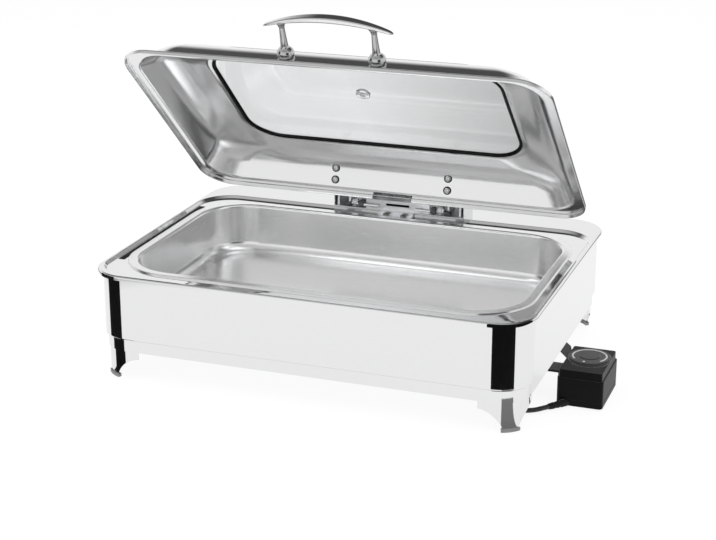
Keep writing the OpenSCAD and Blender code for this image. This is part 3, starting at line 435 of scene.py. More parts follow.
class Shader:
    """A small builder for one material's nodes."""

    def __init__(self, name, **values):
        """Starts a material with the surface's own sockets set by name."""
        self.material = bpy.data.materials.new(name)
        self.material.use_nodes = True
        self.tree = self.material.node_tree
        self.link = self.tree.links.new
        self.surface = self.tree.nodes["Principled BSDF"]
        self.set(self.surface, values)

    def add(self, kind, **values):
        """Adds a node and sets its sockets by name, with _ for a space."""
        made = self.tree.nodes.new("ShaderNode" + kind)
        self.set(made, values)
        return made

    def set(self, node, values):
        for key, value in values.items():
            node.inputs[key.replace("_", " ")].default_value = value

    def place(self):
        """Object coordinates."""
        return self.add("TexCoord").outputs["Object"]

    def noise(self, scale, detail, rough, stretch=(1, 1, 1)):
        mapping = self.add("Mapping", Scale=stretch)
        self.link(self.place(), mapping.inputs["Vector"])
        made = self.add("TexNoise", Scale=scale, Detail=detail, Roughness=rough)
        self.link(mapping.outputs["Vector"], made.inputs["Vector"])
        return made.outputs["Fac"]

    def spread(self, value, low, high, start=0.3, end=0.7):
        """Maps a value from start and end to low and high."""
        made = self.add("MapRange", From_Min=start, From_Max=end, To_Min=low, To_Max=high)
        self.link(value, made.inputs["Value"])
        return made.outputs["Result"]

    def paint(self, value, dark, light, start=0.3, end=0.7):
        """Colours the surface from one shade to another."""
        ramp = self.add("ValToRGB")
        for element, position, rgb in zip(ramp.color_ramp.elements, (start, end), (dark, light)):
            element.position = position
            element.color = (*rgb, 1)
        self.link(value, ramp.inputs["Fac"])
        self.link(ramp.outputs["Color"], self.surface.inputs["Base Color"])

    def roughen(self, value, low, high):
        self.link(self.spread(value, low, high), self.surface.inputs["Roughness"])

    def bump(self, height, strength, distance):
        made = self.add("Bump", Strength=strength, Distance=distance)
        self.link(height, made.inputs["Height"])
        self.link(made.outputs["Normal"], self.surface.inputs["Normal"])


def dimmed(rgb, share):
    return tuple(c * share for c in rgb)


def polished_sheet(name, rgb, rough):
    """Mirror-polished sheet with a faint polishing haze."""
    s = Shader(name, Metallic=1.0)
    fine = s.noise(900, 3, 0.6, (0.15, 0.15, 1))
    s.paint(fine, dimmed(rgb, 0.985), rgb)
    s.roughen(fine, rough * 0.7, rough * 1.4)
    return s.material


def satin_sheet(name, rgb, rough):
    """Satin sheet with fine drawn grain."""
    s = Shader(name, Metallic=1.0)
    grain = s.noise(3200, 2, 0.5, (0.02, 1, 1))
    s.paint(grain, dimmed(rgb, 0.97), rgb)
    s.roughen(grain, rough * 0.9, rough * 1.1)
    s.bump(grain, 0.01, 0.00003)
    return s.material


def plated(name, rgb, rough):
    """Bright plated metal with slight mottling."""
    s = Shader(name, Metallic=1.0)
    mottle = s.noise(220, 5, 0.6)
    s.paint(mottle, dimmed(rgb, 0.9), rgb)
    s.roughen(mottle, rough * 0.75, rough * 1.3)
    return s.material


def moulded(name, rgb, rough, shine=0.5, grain=2600):
    """Moulded plastic or rubber with a spark-eroded grain."""
    s = Shader(name, Specular_IOR_Level=shine)
    pits = s.noise(grain, 2, 0.5)
    s.paint(s.noise(40, 4, 0.55), dimmed(rgb, 0.85), dimmed(rgb, 1.15))
    s.roughen(pits, rough * 0.85, rough * 1.15)
    s.bump(pits, 0.25, 0.00006)
    return s.material


def window_pane(name, rgb):
    """Clear tempered glass with a painted reflection that darkens it towards its right end."""
    s = Shader(name, Transmission_Weight=1.0, IOR=1.45)
    part = s.add("SeparateXYZ")
    s.link(s.place(), part.inputs[0])
    # Painted reflection: the glass's colour falls to 0.58 of itself from its left towards its right end
    s.paint(s.spread(part.outputs["X"], 0, 1, -0.05, 0.19), rgb, dimmed(rgb, 0.58), 0, 1)
    s.roughen(s.noise(14, 5, 0.6), 0.0, 0.02)
    return s.material


MATERIALS = {}


def make_materials():
    """Makes each finish once."""
    f = bpy.context.scene.dish_finish
    MATERIALS.update({
        "polished_steel": polished_sheet("polished_sheet", f.polished, 0.05),
        "satin_steel": satin_sheet("satin_sheet", f.satin, 0.25),
        "lid_steel": satin_sheet("lid_sheet", f.lid, 0.15),
        "zinc_steel": plated("zinc_plate", f.zinc, 0.22),
        "bright_zinc": plated("bright_zinc", dimmed(f.zinc, 1.28), 0.34),
        "screw_steel": plated("screw_steel", dimmed(f.zinc, 0.92), 0.25),
        "dark_zinc": plated("dark_zinc", dimmed(f.zinc, 0.2), 0.2),
        "chrome": plated("chrome_plate", f.chrome, 0.04),
        # Painted shade: the handle's chrome dimmed to six tenths, for its posts and nuts
        "shaded_post_chrome": plated("shaded_post_plate", dimmed(f.chrome, 0.6), 0.06),
        "window_glass": window_pane("window_pane", f.glass),
        "black_rubber": moulded("black_rubber", f.rubber, 0.6, 0.2),
        "foot_rubber": moulded("foot_rubber", f.feet, 0.6),
        "cord_jacket": moulded("cord_jacket", f.jacket, 0.42, grain=1800),
        "black_plastic": moulded("black_plastic", f.black_plastic, 0.38, 0.08),
        "dial_plastic": moulded("dial_plastic", f.dial, 0.35, 0.3),
        "silver_print": plated("silver_print", (0.75, 0.75, 0.76), 0.35),
        "black_steel": moulded("black_paint", f.black_plastic, 0.35, 0.2),
        "heater_aluminium": plated("heater_plate", (0.75, 0.75, 0.76), 0.4),
        "element_steel": plated("element_sheath", (0.3, 0.31, 0.3), 0.45),
        "thermostat_plastic": moulded("thermostat_body", (0.6, 0.5, 0.33), 0.5),
        "pin_brass": plated("pin_brass", f.brass, 0.25),
    })


class Sums:
    """Arithmetic nodes of the floor and the surroundings."""

    def __init__(self, tree):
        self.tree = tree

    def math(self, operation, a, b=None, clamp=False):
        made = self.tree.nodes.new("ShaderNodeMath")
        made.operation = operation
        made.use_clamp = clamp
        for socket, value in zip(made.inputs, (a, b)):
            if hasattr(value, "node"):
                self.tree.links.new(value, socket)
            elif value is not None:
                socket.default_value = value
        return made.outputs[0]

    def times(self, a, b):
        return self.math("MULTIPLY", a, b)

    def less(self, a, b):
        return self.math("SUBTRACT", a, b)

    def most(self, a, b):
        return self.math("MAXIMUM", a, b)

    def window(self, value, low, high, soft):
        """One between the two limits, falling to zero outside them."""
        rise = self.math("DIVIDE", self.less(value, low - soft / 2), soft, True)
        fall = self.math("DIVIDE", self.less(high + soft / 2, value), soft, True)
        return self.times(rise, fall)

    def mirrored(self):
        """One where the ray is a mirror image and not a look through glass."""
        ray = self.tree.nodes.new("ShaderNodeLightPath")
        return self.times(ray.outputs["Is Glossy Ray"], self.less(1.0, ray.outputs["Is Transmission Ray"]))

    def azimuth(self, place):
        """Degrees from the front towards the right, and the sockets of x, y and z."""
        part = self.tree.nodes.new("ShaderNodeSeparateXYZ")
        self.tree.links.new(place, part.inputs[0])
        front = self.times(part.outputs["Y"], -1.0)
        return self.math("DEGREES", self.math("ARCTAN2", part.outputs["X"], front)), part.outputs


# Operators

class DISH_OT_stage(Operator):
    """Sets the camera, floor and studio light"""
    bl_idname = "dish.stage"
    bl_label = "Stage"

    # Place, size and watts of each soft box, and what they point at
    target = Vector((DISH_X, 0, 0.15))
    lamps = {
        "key_box": ((-1.4, -1.2, 1.9), 1.6, 14), "fill_box": ((1.7, -0.6, 1.5), 1.4, 9),
        "top_box": ((0, 0.4, 2.3), 2.0, 16),
    }
    # Side, first and last degree from the front, two edges as radius and height, and tone of each dark card
    cards = {
        "flag_right": (1, -4, 46.5, (0.062, 0.047), (0.062, 0.15), 0.004),
        "flag_rim": (1, -6, 80, (0.062, 0.13), (0.062, 0.16), 0.004),
        "flag_left": (-1, 15, 54, (0.062, 0), (0.062, 0.15), 0.004),
        "flag_toe": (-1, 15, 54, (0.045, 0.0005), (0.062, 0.0005), 0.004),
        "flag_foot": (1, 22, 58, (0.044, 0.0005), (0.14, 0.0005), 0.2),
    }

    def execute(self, context):
        scene = context.scene
        scene.view_settings.view_transform = "Standard"
        self.camera(scene)
        self.floor()
        self.surroundings(scene)
        self.soft_boxes()
        for name, card in self.cards.items():
            self.corner_card(scene.dish_base, name, *card)
        self.recess_card()
        return {"FINISHED"}

    def camera(self, scene):
        """The photograph's camera, fitted to the rim, wall and lid edges."""
        data = bpy.data.cameras.new("camera")
        data.lens = 85.70
        data.sensor_width = 36
        data.shift_y = -0.0059
        camera = added("camera", data)
        turn, up, away, aim = radians(19.85), radians(18.91), 2.2187, Vector((DISH_X, 0, 0.114))
        back = Vector((sin(turn) * cos(up), -cos(turn) * cos(up), sin(up)))
        camera.location = aim + back * away
        camera.rotation_euler = (-back).to_track_quat("-Z", "Y").to_euler()
        scene.camera = camera

    def floor(self):
        """A pale floor that shows white to the camera and keeps a soft shadow."""
        clear_selection()
        bpy.ops.mesh.primitive_grid_add(size=8, x_subdivisions=4, y_subdivisions=4, location=(0, 0, -0.0002))
        floor = bpy.context.object
        floor.name = floor.data.name = "floor"
        made = bpy.data.materials.new("floor_white")
        made.use_nodes = True
        tree = made.node_tree
        tree.nodes.clear()
        new, link = tree.nodes.new, tree.links.new
        out, mix = new("ShaderNodeOutputMaterial"), new("ShaderNodeMixShader")
        matt, glow = new("ShaderNodeBsdfDiffuse"), new("ShaderNodeEmission")
        ray, place = new("ShaderNodeLightPath"), new("ShaderNodeTexCoord")
        matt.inputs["Color"].default_value = (0.9, 0.9, 0.9, 1)
        sums = Sums(tree)
        seen = sums.times(sums.less(1.0, ray.outputs["Is Diffuse Ray"]), 0.85)
        # What the metal mirrors is a white table that ends in a darker room at the sides
        azimuth, part = sums.azimuth(place.outputs["Object"])
        square = sums.math("ADD", sums.math("POWER", part["X"], 2.0), sums.math("POWER", part["Y"], 2.0))
        away = sums.math("SQRT", square)
        aside = sums.most(sums.window(azimuth, 45, 170, 24), sums.window(azimuth, -170, -38, 24))
        room = sums.times(sums.times(sums.window(away, 0.72, 20, 0.12), aside), sums.mirrored())
        link(sums.less(1.05, room), glow.inputs["Strength"])
        link(seen, mix.inputs["Fac"])
        link(matt.outputs[0], mix.inputs[1])
        link(glow.outputs[0], mix.inputs[2])
        link(mix.outputs[0], out.inputs["Surface"])
        floor.data.materials.append(made)

    def surroundings(self, scene):
        """White surroundings with dark zones at both sides and overhead for the metal to mirror."""
        world = bpy.data.worlds.new("studio")
        world.use_nodes = True
        tree = world.node_tree
        ground = tree.nodes["Background"]
        ray = tree.nodes.new("ShaderNodeLightPath")
        place = tree.nodes.new("ShaderNodeTexCoord")
        sums = Sums(tree)
        # Height is the sine of elevation
        azimuth, part = sums.azimuth(place.outputs["Generated"])
        up = part["Z"]
        level = sums.window(up, -0.1, 0.45, 0.15)
        right = sums.times(sums.window(azimuth, 24, 62, 12), level)
        left = sums.times(sums.window(azimuth, -84, -54, 12), level)
        over = sums.math("ADD", sums.times(sums.window(part["Y"], 0, 2, 0.5), 0.5), 0.46)
        zenith = sums.times(sums.window(up, 0.52, 2, 0.28), over)
        dark = sums.most(sums.most(right, left), zenith)
        shade = sums.times(sums.times(dark, 0.97), sums.mirrored())
        lower = sums.times(ray.outputs["Is Diffuse Ray"], 0.4)
        tree.links.new(sums.less(sums.less(1.0, shade), lower), ground.inputs["Strength"])
        ground.inputs["Color"].default_value = (1, 1, 1, 1)
        scene.world = world

    def soft_boxes(self):
        """Soft lamps that the metal doesn't mirror."""
        for name, (spot, size, watts) in self.lamps.items():
            data = bpy.data.lights.new(name, "AREA")
            data.energy = watts
            data.size = size
            lamp = added(name, data)
            lamp.location = spot
            lamp.visible_glossy = False
            lamp.rotation_euler = (self.target - Vector(spot)).to_track_quat("-Z", "Y").to_euler()

    def corner_card(self, base, name, side, first, last, start, end, tone):
        """A dark card round a front corner, from one radius and height to another."""
        card = empty_mesh(name)
        r = base.wall_corner
        middle = Vector((DISH_X + side * (base.wall_long / 2 - r), r - base.wall_wide / 2, 0))
        turn = radians(first)
        out = Vector((side * sin(turn), -cos(turn), 0))
        bm = bmesh.from_edit_mesh(card.data)
        bm.verts.new(middle + start[0] * out + Vector((0, 0, start[1]))).select = True
        bmesh.update_edit_mesh(card.data)
        move = (end[0] - start[0]) * out + Vector((0, 0, end[1] - start[1]))
        bpy.ops.mesh.extrude_region_move(TRANSFORM_OT_translate={"value": move})
        bpy.ops.mesh.select_all(action="SELECT")
        bpy.ops.mesh.spin(
            steps=16, angle=-side * radians(last - first), center=middle, axis=(0, 0, 1))
        clear_selection()
        self.hide_card(card, tone)

    def recess_card(self):
        """A narrow dark card over the left side of the lid's recess."""
        clear_selection()
        bpy.ops.mesh.primitive_grid_add(
            size=1, x_subdivisions=2, y_subdivisions=2, location=(DISH_X - 0.28375, 0.01, 0.148))
        card = bpy.context.object
        card.name = card.data.name = "flag_side"
        card.scale = (0.009, 0.25, 1)
        bpy.ops.object.transform_apply(location=True, scale=True)
        self.hide_card(card, 0.02)

    def hide_card(self, card, tone):
        """Paints a card and shows it to mirror images only."""
        dull = Shader(card.name, Base_Color=(tone, tone, tone, 1), Roughness=1.0)
        card.data.materials.append(dull.material)
        for kind in ("camera", "diffuse", "shadow", "transmission"):
            setattr(card, "visible_" + kind, False)


class DISH_OT_mains_cord(Operator):
    """Lays the mains cord from the strain relief over the table to its coil and plug"""
    bl_idname = "dish.mains_cord"
    bl_label = "Mains cord"

    # Height of the cord's middle at the strain relief, on the table and at the foot of the coil
    relief, low, coil_low = 0.005, 0.0031, 0.0043
    # Points from the front right corner of the walls, from the rear right corner, and from the coil's end
    front_points = ((-0.0566, 0.11, low), (-0.058, 0.122, low), (-0.0605, 0.145, low))
    rear_points = (
        (-0.073, -0.145, low), (-0.078, -0.115, low), (-0.084, -0.085, low), (-0.091, -0.055, low),
        (-0.1, -0.025, low), (-0.111, 0.002, low), (-0.121, 0.025, low), (-0.124, 0.047, coil_low))
    # Degrees round the coil where it steps inwards, up and outwards, and where it ends
    inwards, upwards, outwards, last = (295, 355), (590, 655), (895, 955), 1170
    plug_points = ((-0.01, 0.0103), (-0.02, 0.0104), (-0.03, 0.0108), (-0.04, 0.0113), (-0.05, 0.0115))

    def route(self, base):
        """Points from the strain relief round under the dish to the coil."""
        corner_x = DISH_X + base.wall_long / 2
        half = base.wall_wide / 2
        turn = radians(40)
        way = Vector((-sin(turn), -cos(turn), 0))
        # The strain relief, a short straight and the bend to the rear
        root = Vector((corner_x + 0.023, -half + 0.1065, self.relief))
        relief_long, straight, bend, bend_turn = 0.024, 0.008, 0.033, radians(133)
        start = root + relief_long * way
        points = [start, start + straight * way]
        centre = points[1] + bend * Vector((-cos(turn), sin(turn), 0))
        for k, spot in enumerate(arc(centre.xy, bend, -turn, -turn - bend_turn, 7)[1:], 1):
            points.append(Vector((*spot, max(self.low, self.relief - 0.0007 * k))))
        points += [Vector((corner_x + x, -half + y, z)) for x, y, z in self.front_points]
        points += [Vector((corner_x + x, half + y, z)) for x, y, z in self.rear_points]
        return points

    def curve_through(self, points, steps):
        """The same smooth curve through the points as the CAD cord's."""
        path = []
        for i in range(len(points) - 1):
            a, b = points[max(i - 1, 0)], points[i]
            c, d = points[i + 1], points[min(i + 2, len(points) - 1)]
            for k in range(steps):
                t = k / steps
                path.append(0.5 * (
                    2 * b + (c - a) * t + (2 * a - 5 * b + 4 * c - d) * t * t
                    + (3 * b - a - 3 * c + d) * t * t * t))
        return path + [points[-1]]

    def coil(self, centre, mean, thick):
        """Turns beside each other on the table, then on top of them, wound without crossing."""
        outer = mean + thick / 2

        def ease(angle, start, end):
            t = min(max((angle - start) / (end - start), 0), 1)
            return t * t * (3 - 2 * t)

        path = []
        for angle in range(10, self.last + 1, 10):
            away = outer - thick * ease(angle, *self.inwards) + thick * ease(angle, *self.outwards)
            up = self.coil_low + thick * ease(angle, *self.upwards)
            turn = radians(angle)
            path.append(centre + Vector((away * cos(turn), away * sin(turn), up)))
        return path

    def execute(self, context):
        base, sizes = context.scene.dish_base, context.scene.dish_cord
        path = self.curve_through(self.route(base), sizes.steps)
        in_from_right, behind = 0.163, 0.047
        centre = Vector((DISH_X + base.wall_long / 2 - in_from_right, base.wall_wide / 2 + behind, 0))
        coil = self.coil(centre, sizes.coil, sizes.thick)
        end = coil[-1]
        tail = [end] + [Vector((end.x + x, end.y, z)) for x, z in self.plug_points]
        path += coil + self.curve_through(tail, sizes.steps)[1:]
        data = bpy.data.curves.new("mains_cord_line", "CURVE")
        data.dimensions = "3D"
        data.bevel_depth = sizes.thick / 2
        data.bevel_resolution = 5
        data.use_fill_caps = True
        line = data.splines.new("POLY")
        line.points.add(len(path) - 1)
        for place, point in zip(line.points, path):
            place.co = (*point, 1)
        line.use_smooth = True
        cord = added("mains_cord_line", data)
        finish_piece(cord, "base", "cord_jacket", "mains_cord", "cord_coil", "plug_lead")
        trim = [
            rounded_copy(node, width)
            for node, width in (("plug_body", 0.0012), ("strain_relief", 0.0003), ("cord_tie", 0.0003))
        ]
        return {"FINISHED"}


class DISH_OT_lid_shell(Operator):
    """Lofts the lid's sheet from its lip over the shoulder to the window ledge"""
    bl_idname = "dish.lid_shell"
    bl_label = "Lid shell"

    def execute(self, context):
        lid, base = context.scene.dish_lid, context.scene.dish_base
        flange_up = flange_height(context.scene)
        top = lid.flange + lid.lean
        ledge = lid.border_wide - lid.ledge
        ledge_long = lid.border_long - lid.ledge
        # Inset and height of each bend of the sheet, and its radius
        bends = (
            ((0, -lid.lip + lid.sheet / 2), 0), ((0, 0), 0.0025), ((lid.flange, 0), 0.003),
            ((top, lid.wall), 0.045), ((ledge, lid.rise), 0.01), ((lid.border_wide, lid.rise), 0))
        outside = rounded_profile(*zip(*bends), 12)
        inside = beside(outside, lid.sheet)
        profile = outside + inside[::-1] + rounded_end(inside[0], outside[0])
        # The corners grow as the wall leans in
        growth = 0.15
        top_corner = lid.corner + growth * top
        window = lid.window_corner + lid.ledge
        rings = []
        for inset, up in profile:
            inset_long, corner = inset, lid.corner + growth * max(inset, 0)
            if inset > top:
                share = min((inset - top) / (ledge - top), 1)
                past = max(inset - ledge, 0)
                inset_long = top + (ledge_long - top) * share + past
                corner = top_corner + (window - top_corner) * share - past
            centre = (DISH_X, -base.pan_front, flange_up + up)
            rings.append((centre, lid.long - 2 * inset_long, lid.wide - 2 * inset, corner))
        shell = loft("lid_sheet", rings, 16)
        # The rear lip is cut where the hinge's tab passes
        back, notch = lid.wide / 2 - base.pan_front, (0.056, 0.01, 0.0085)
        box_cut(shell, (DISH_X, back, flange_up - 0.00555), notch)
        open_lid(shell)
        smooth(shell, 40)
        finish_piece(shell, "lid", "satin_steel", "lid_shell", finish="lid_steel")
        return {"FINISHED"}


class DISH_OT_handle(Operator):
    """Lofts the leaf-shaped handle bar and turns its two posts"""
    bl_idname = "dish.handle"
    bl_label = "Handle"

    # Radius and height of a post, from its stud to the flare under the bar
    post = (
        (0.0025, -0.006), (0.0025, -0.0002), (0.0086, 0.00003), (0.0102, 0.0011), (0.0109, 0.003),
        (0.011, 0.005), (0.0106, 0.0071), (0.0096, 0.0092), (0.008, 0.0111), (0.0062, 0.0125),
        (0.0052, 0.0136), (0.0048, 0.0152), (0.0046, 0.0175), (0.0043, 0.022), (0.0038, 0.03),
        (0.0035, 0.0365), (0.0035, 0.039), (0.0039, 0.0413), (0.0048, 0.0436), (0.0059, 0.0455),
        (0.0065, 0.0466), (0.0065, 0.047))

    def execute(self, context):
        scene = context.scene
        sizes = scene.dish_handle
        place = on_lid_wall(scene, -1, 0, sizes.post_up)
        # The bar is lofted along Z, then laid along X
        lay = Matrix(((0, 0, 1, 0), (1, 0, 0, 0), (0, 1, 0, 0), (0, 0, 0, 1)))
        bar = self.bar(sizes)
        put(bar, place @ lay)
        smooth(bar, 60)
        finish_piece(bar, "lid", "chrome", "handle_bar")
        stretch = sizes.post_long / self.post[-1][1]
        left = turned("handle_post_left", [(r, z * stretch) for r, z in self.post])
        right = copied(left, "handle_post_right")
        for post, side in ((left, -1), (right, 1)):
            put(post, on_lid_wall(scene, -1, side * sizes.post_gap / 2, sizes.post_up))
            smooth(post, 50)
            # The posts get the chrome dimmed as painted shade
            finish_piece(post, "lid", "chrome", "handle_posts", finish="shaded_post_chrome")
        return {"FINISHED"}

    def bar(self, sizes):
        """The bar's rings: an arch that thins and narrows to its ends."""
        half = sizes.bar_long / 2

        def radius(rise):
            return (half * half + rise * rise) / (2 * rise)

        def drop(r, x):
            return r - sqrt(r * r - x * x)

        arch = radius(sizes.bar_rise)
        under = radius(sizes.bar_rise - sizes.bar_thick + sizes.end_thick)
        side = radius((sizes.bar_deep - sizes.end_deep) / 2)
        # The posts reach this far into the bar
        sunk, count = 0.001, 40
        top = sizes.post_long - sunk + drop(under, sizes.post_gap / 2) + sizes.bar_thick
        rings = []
        for i in range(count + 1):
            x = -half * cos(pi * i / count)
            high = top - drop(arch, x)
            low = top - sizes.bar_thick - drop(under, x)
            # The bar rounds off at its very ends
            close = sqrt(max(1 - (abs(x) / half) ** 40, 0.12))
            thick = (high - low) * close
            deep = (sizes.bar_deep - 2 * drop(side, x)) * close
            rings.append(((0, (high + low) / 2, x), deep, thick, 0.49 * min(thick, deep)))
        return loft("handle_bar_leaf", rings, 8, capped=True)


class DISH_OT_screws(Operator):
    """Turns one pan-head screw with a cross recess and copies it to the lid and the hinge"""
    bl_idname = "dish.screws"
    bl_label = "Screws"

    # Radius and height, from the shank's end to the top of the head, and of the washer
    profile = (
        (0.002, -0.0062), (0.002, -0.0001), (0.0041, 0), (0.0043, 0.0004), (0.0042, 0.0011), (0.0037, 0.0018),
        (0.0029, 0.0023), (0.0018, 0.0026), (0.0008, 0.0027))
    washer = ((0.0046, 0), (0.0054, 0.0002), (0.0056, 0.0006), (0.0052, 0.0009), (0.0044, 0.001))
    # Places of the lid's screws, as sideways, and as height up the wall and the wall's bow there
    lid_sides = (-0.08, 0.08)
    lid_heights = ((0.009, 0), (0.023, 0.0004))
    # Places of the hinge's screws, from the dish's middle
    hinge_places = (
        (-0.055, 0.192, 0.14252), (0.055, 0.192, 0.14252),
        (-0.0125, 0.1481, 0.13902), (0.0125, 0.1481, 0.13902))

    def recessed(self):
        """The first screw, with its cross recess cut in."""
        screw = turned("screw", self.profile)
        for size in ((0.0044, 0.0009, 0.003), (0.0009, 0.0044, 0.003)):
            box_cut(screw, (0, 0, 0.0028), size)
        smooth(screw, 40)
        return screw

    def execute(self, context):
        scene = context.scene
        first = self.recessed()
        ring = turned("washer", self.washer)
        smooth(ring, 50)
        flip = Matrix.Rotation(pi, 4, "X")
        lift = Matrix.Translation((0, 0, 0.0006))
        places = []
        for x in self.lid_sides:
            for up, bow in self.lid_heights:
                out = Matrix.Translation((0, 0, scene.dish_lid.sheet + bow))
                inner = on_lid_wall(scene, 1, x, up) @ flip @ out
                places.append((inner @ lift, "lid", "lid_screws", "screw_steel"))
                seal = copied(ring, f"screw_washer_{len(places)}")
                put(seal, inner)
                finish_piece(seal, "lid", "black_rubber")
        for x, y, z in self.hinge_places:
            place = Matrix.Translation((DISH_X + x, y, z))
            places.append((place, "base", "hinge_base_screws", "element_steel"))
        for number, (place, body, node, finish) in enumerate(places, 1):
            screw = copied(first, f"cross_screw_{number}")
            put(screw, place)
            finish_piece(screw, body, "screw_steel", node, finish=finish)
        for spare in (first, ring):
            bpy.data.objects.remove(spare)
        return {"FINISHED"}


class DISH_OT_seal_bead(Operator):
    """Lofts the round bead of the window seal that shows inside the lid"""
    bl_idname = "dish.seal_bead"
    bl_label = "Seal bead"

    def execute(self, context):
        lid, base = context.scene.dish_lid, context.scene.dish_base
        # The bead's middle stands this far past the window's edge and below the sheet
        past, below, radius = 0.0004, 0.0006, 0.0012
        up = flange_height(context.scene) + lid.rise - lid.sheet - below
        circle = arc(Vector((lid.window_corner + past, up)), radius, 0, 1.8 * pi, 9)
        rings = carried(
            circle, lid.long - 2 * lid.border_long, lid.wide - 2 * lid.border_wide, lid.window_corner,
            (DISH_X, -base.pan_front))
        bead = loft("seal_bead", rings, 16)
        open_lid(bead)
        smooth(bead, 80)
        finish_piece(bead, "lid", "black_rubber")
        return {"FINISHED"}


class DISH_OT_hinge_links(Operator):
    """Models the rods, knuckles and feet that show on the front of the hinge, and the black stop pad"""
    bl_idname = "dish.hinge_links"
    bl_label = "Hinge links"

    # Radius and length along the rod, and along the knuckle's pin
    rod = (
        (0.0016, 0), (0.0023, 0.0005), (0.0023, 0.007), (0.0031, 0.0074), (0.0031, 0.0098), (0.0023, 0.0102),
        (0.0023, 0.0215), (0.0016, 0.022))
    knuckle = (
        (0.0046, 0), (0.0053, 0.0006), (0.0053, 0.0062), (0.0047, 0.007), (0.0034, 0.0071), (0.0031, 0.0064),
        (0.0026, 0.0064), (0.0024, 0.0074), (0.0012, 0.0079))
    # Places of the right rod and knuckle, from the dish's middle
    rod_place = (0.0265, 0.1583, 0.1474)
    knuckle_place = (0.0618, 0.1655, 0.1487)
    # Middle, size, fall of the top and edge radius of the right block and foot
    back = 0.1615
    blocks = {
        "link_block_": ((0.052, back, 0.1482), (0.007, 0.0075, 0.0095), 0.0006, 0.0009),
        "link_foot_": ((0.0725, back, 0.1466), (0.0095, 0.0065, 0.0068), 0.0042, 0.0007),
    }

    def beside_hinge(self, side, place):
        """A place on one side of the hinge."""
        return Matrix.Translation((DISH_X + side * place[0], *place[1:]))

    def execute(self, context):
        bars = [turned("link_rod_left", self.rod, 6)]
        eyes = [turned("link_knuckle_left", self.knuckle)]
        bars.append(copied(bars[0], "link_rod_right"))
        eyes.append(copied(eyes[0], "link_knuckle_right"))
        for side, name, bar, eye in zip((-1, 1), ("left", "right"), bars, eyes):
            put(bar, self.beside_hinge(side, self.rod_place) @ Matrix.Rotation(side * pi / 2, 4, "Y"))
            put(eye, self.beside_hinge(side, self.knuckle_place) @ Matrix.Rotation(pi / 2, 4, "X"))
            for piece in (bar, eye):
                smooth(piece, 35)
                finish_piece(piece, "base", "zinc_steel", finish="chrome")
            # The left ones are turned half round
            turn = Matrix.Rotation(0 if side > 0 else pi, 4, "Z")
            shift = Matrix.Translation((DISH_X, 0 if side > 0 else 2 * self.back, 0))
            for start, sizes in self.blocks.items():
                piece = wedge(start + name, *sizes)
                put(piece, shift @ turn)
                finish_piece(piece, "base", "zinc_steel", finish="dark_zinc")
        # The stop pad stands in a slot of the hinge base
        pad = wedge("stop_pad", (DISH_X, 0.1648, 0.1495), (0.035, 0.0024, 0.0062), 0, 0.0005)
        finish_piece(pad, "base", "black_rubber")
        box_cut(bpy.data.objects["hinge_base_soft"], (DISH_X, 0.1618, 0.1498), (0.034, 0.008, 0.0034))
        return {"FINISHED"}


class DISH_OT_soft_edges(Operator):
    """Rounds the edges of the plates, housings and trim that keep their CAD shapes"""
    bl_idname = "dish.soft_edges"
    bl_label = "Soft edges"

    # Width of the round on each piece
    rounds = {
        "control_housing": 0.0014, "control_base": 0.0009, "control_bracket": 0.0005, "dial_knob": 0.0003,
        "hinge_base": 0.0004, "hinge_cover": 0.0003, "hinge_arms": 0.0008, "hinge_dampers": 0.0005,
        "front_left_leg": 0.0005, "front_right_leg": 0.0005, "rear_left_leg": 0.0005,
        "rear_right_leg": 0.0005, "foot_caps": 0.0004, "window_frame": 0.0003, "vent_ring": 0.0003,
        "handle_nuts": 0.0003, "base_tray": 0.0002, "dial_scale": 0.00005,
    }
    # The handle's nuts take the posts' chrome, dimmed as painted shade
    finishes = {"foot_caps": "foot_rubber", "hinge_base": "bright_zinc", "handle_nuts": "shaded_post_chrome"}
    unmirrored = ("control_", "dial_", "bracket_", "thermostat")

    def execute(self, context):
        for node, width in self.rounds.items():
            piece = rounded_copy(node, width, self.finishes.get(node))
            # The casing doesn't mirror the control box
            piece.visible_glossy = not node.startswith(self.unmirrored)
        for node, piece in NODES.items():
            if node.startswith(self.unmirrored):
                piece.visible_glossy = False
        return {"FINISHED"}


class DISH_OT_food_pan(Operator):
    """Lofts the food pan with its flange, rounded lip, leaning walls and rounded bottom"""
    bl_idname = "dish.food_pan"
    bl_label = "Food pan"

    def execute(self, context):
        base = context.scene.dish_base
        # Radius of the lip and of the bottom's edge, width of the flange and depth of its turned-down hem
        lip, bottom, flange, hem = 0.004, 0.017, 0.0125, 0.0022
        sheet, lean = 0.001, radians(6)
        r, up = base.pan_corner, base.rim_top - base.shelf + hem
        floor = up - base.pan_deep
        lip_centre = Vector((r + lip, up - lip))
        start = lip_centre + lip * Vector((-cos(lean), sin(lean)))
        low = floor + bottom - bottom * sin(lean)
        low_x = start.x - (start.y - low) * tan(lean) - bottom * cos(lean)
        low_centre = Vector((low_x, floor + bottom))
        edge = r + flange
        quarter = pi / 2
        rolled = [Vector((edge + sheet, up - hem)), *arc(Vector((edge, up - sheet)), sheet, 0, quarter, 3)]
        inside = arc(lip_centre, lip, quarter, pi - lean, 8)
        inside += arc(low_centre, bottom, -lean, -quarter, 12)
        inside.append(Vector((inside[-1].x - 0.002, floor)))
        hidden = beside(inside, -sheet)[::-1] + [Vector((edge, up - sheet)), Vector((edge, up - hem))]
        centre = (DISH_X, -base.pan_front)
        rings = carried(hidden + rolled + inside, base.pan_long, base.pan_wide, r, centre)
        pan = loft("food_pan_sheet", rings, 20, capped=True)
        smooth(pan, 40)
        finish_piece(pan, "base", "satin_steel", "food_pan")
        return {"FINISHED"}


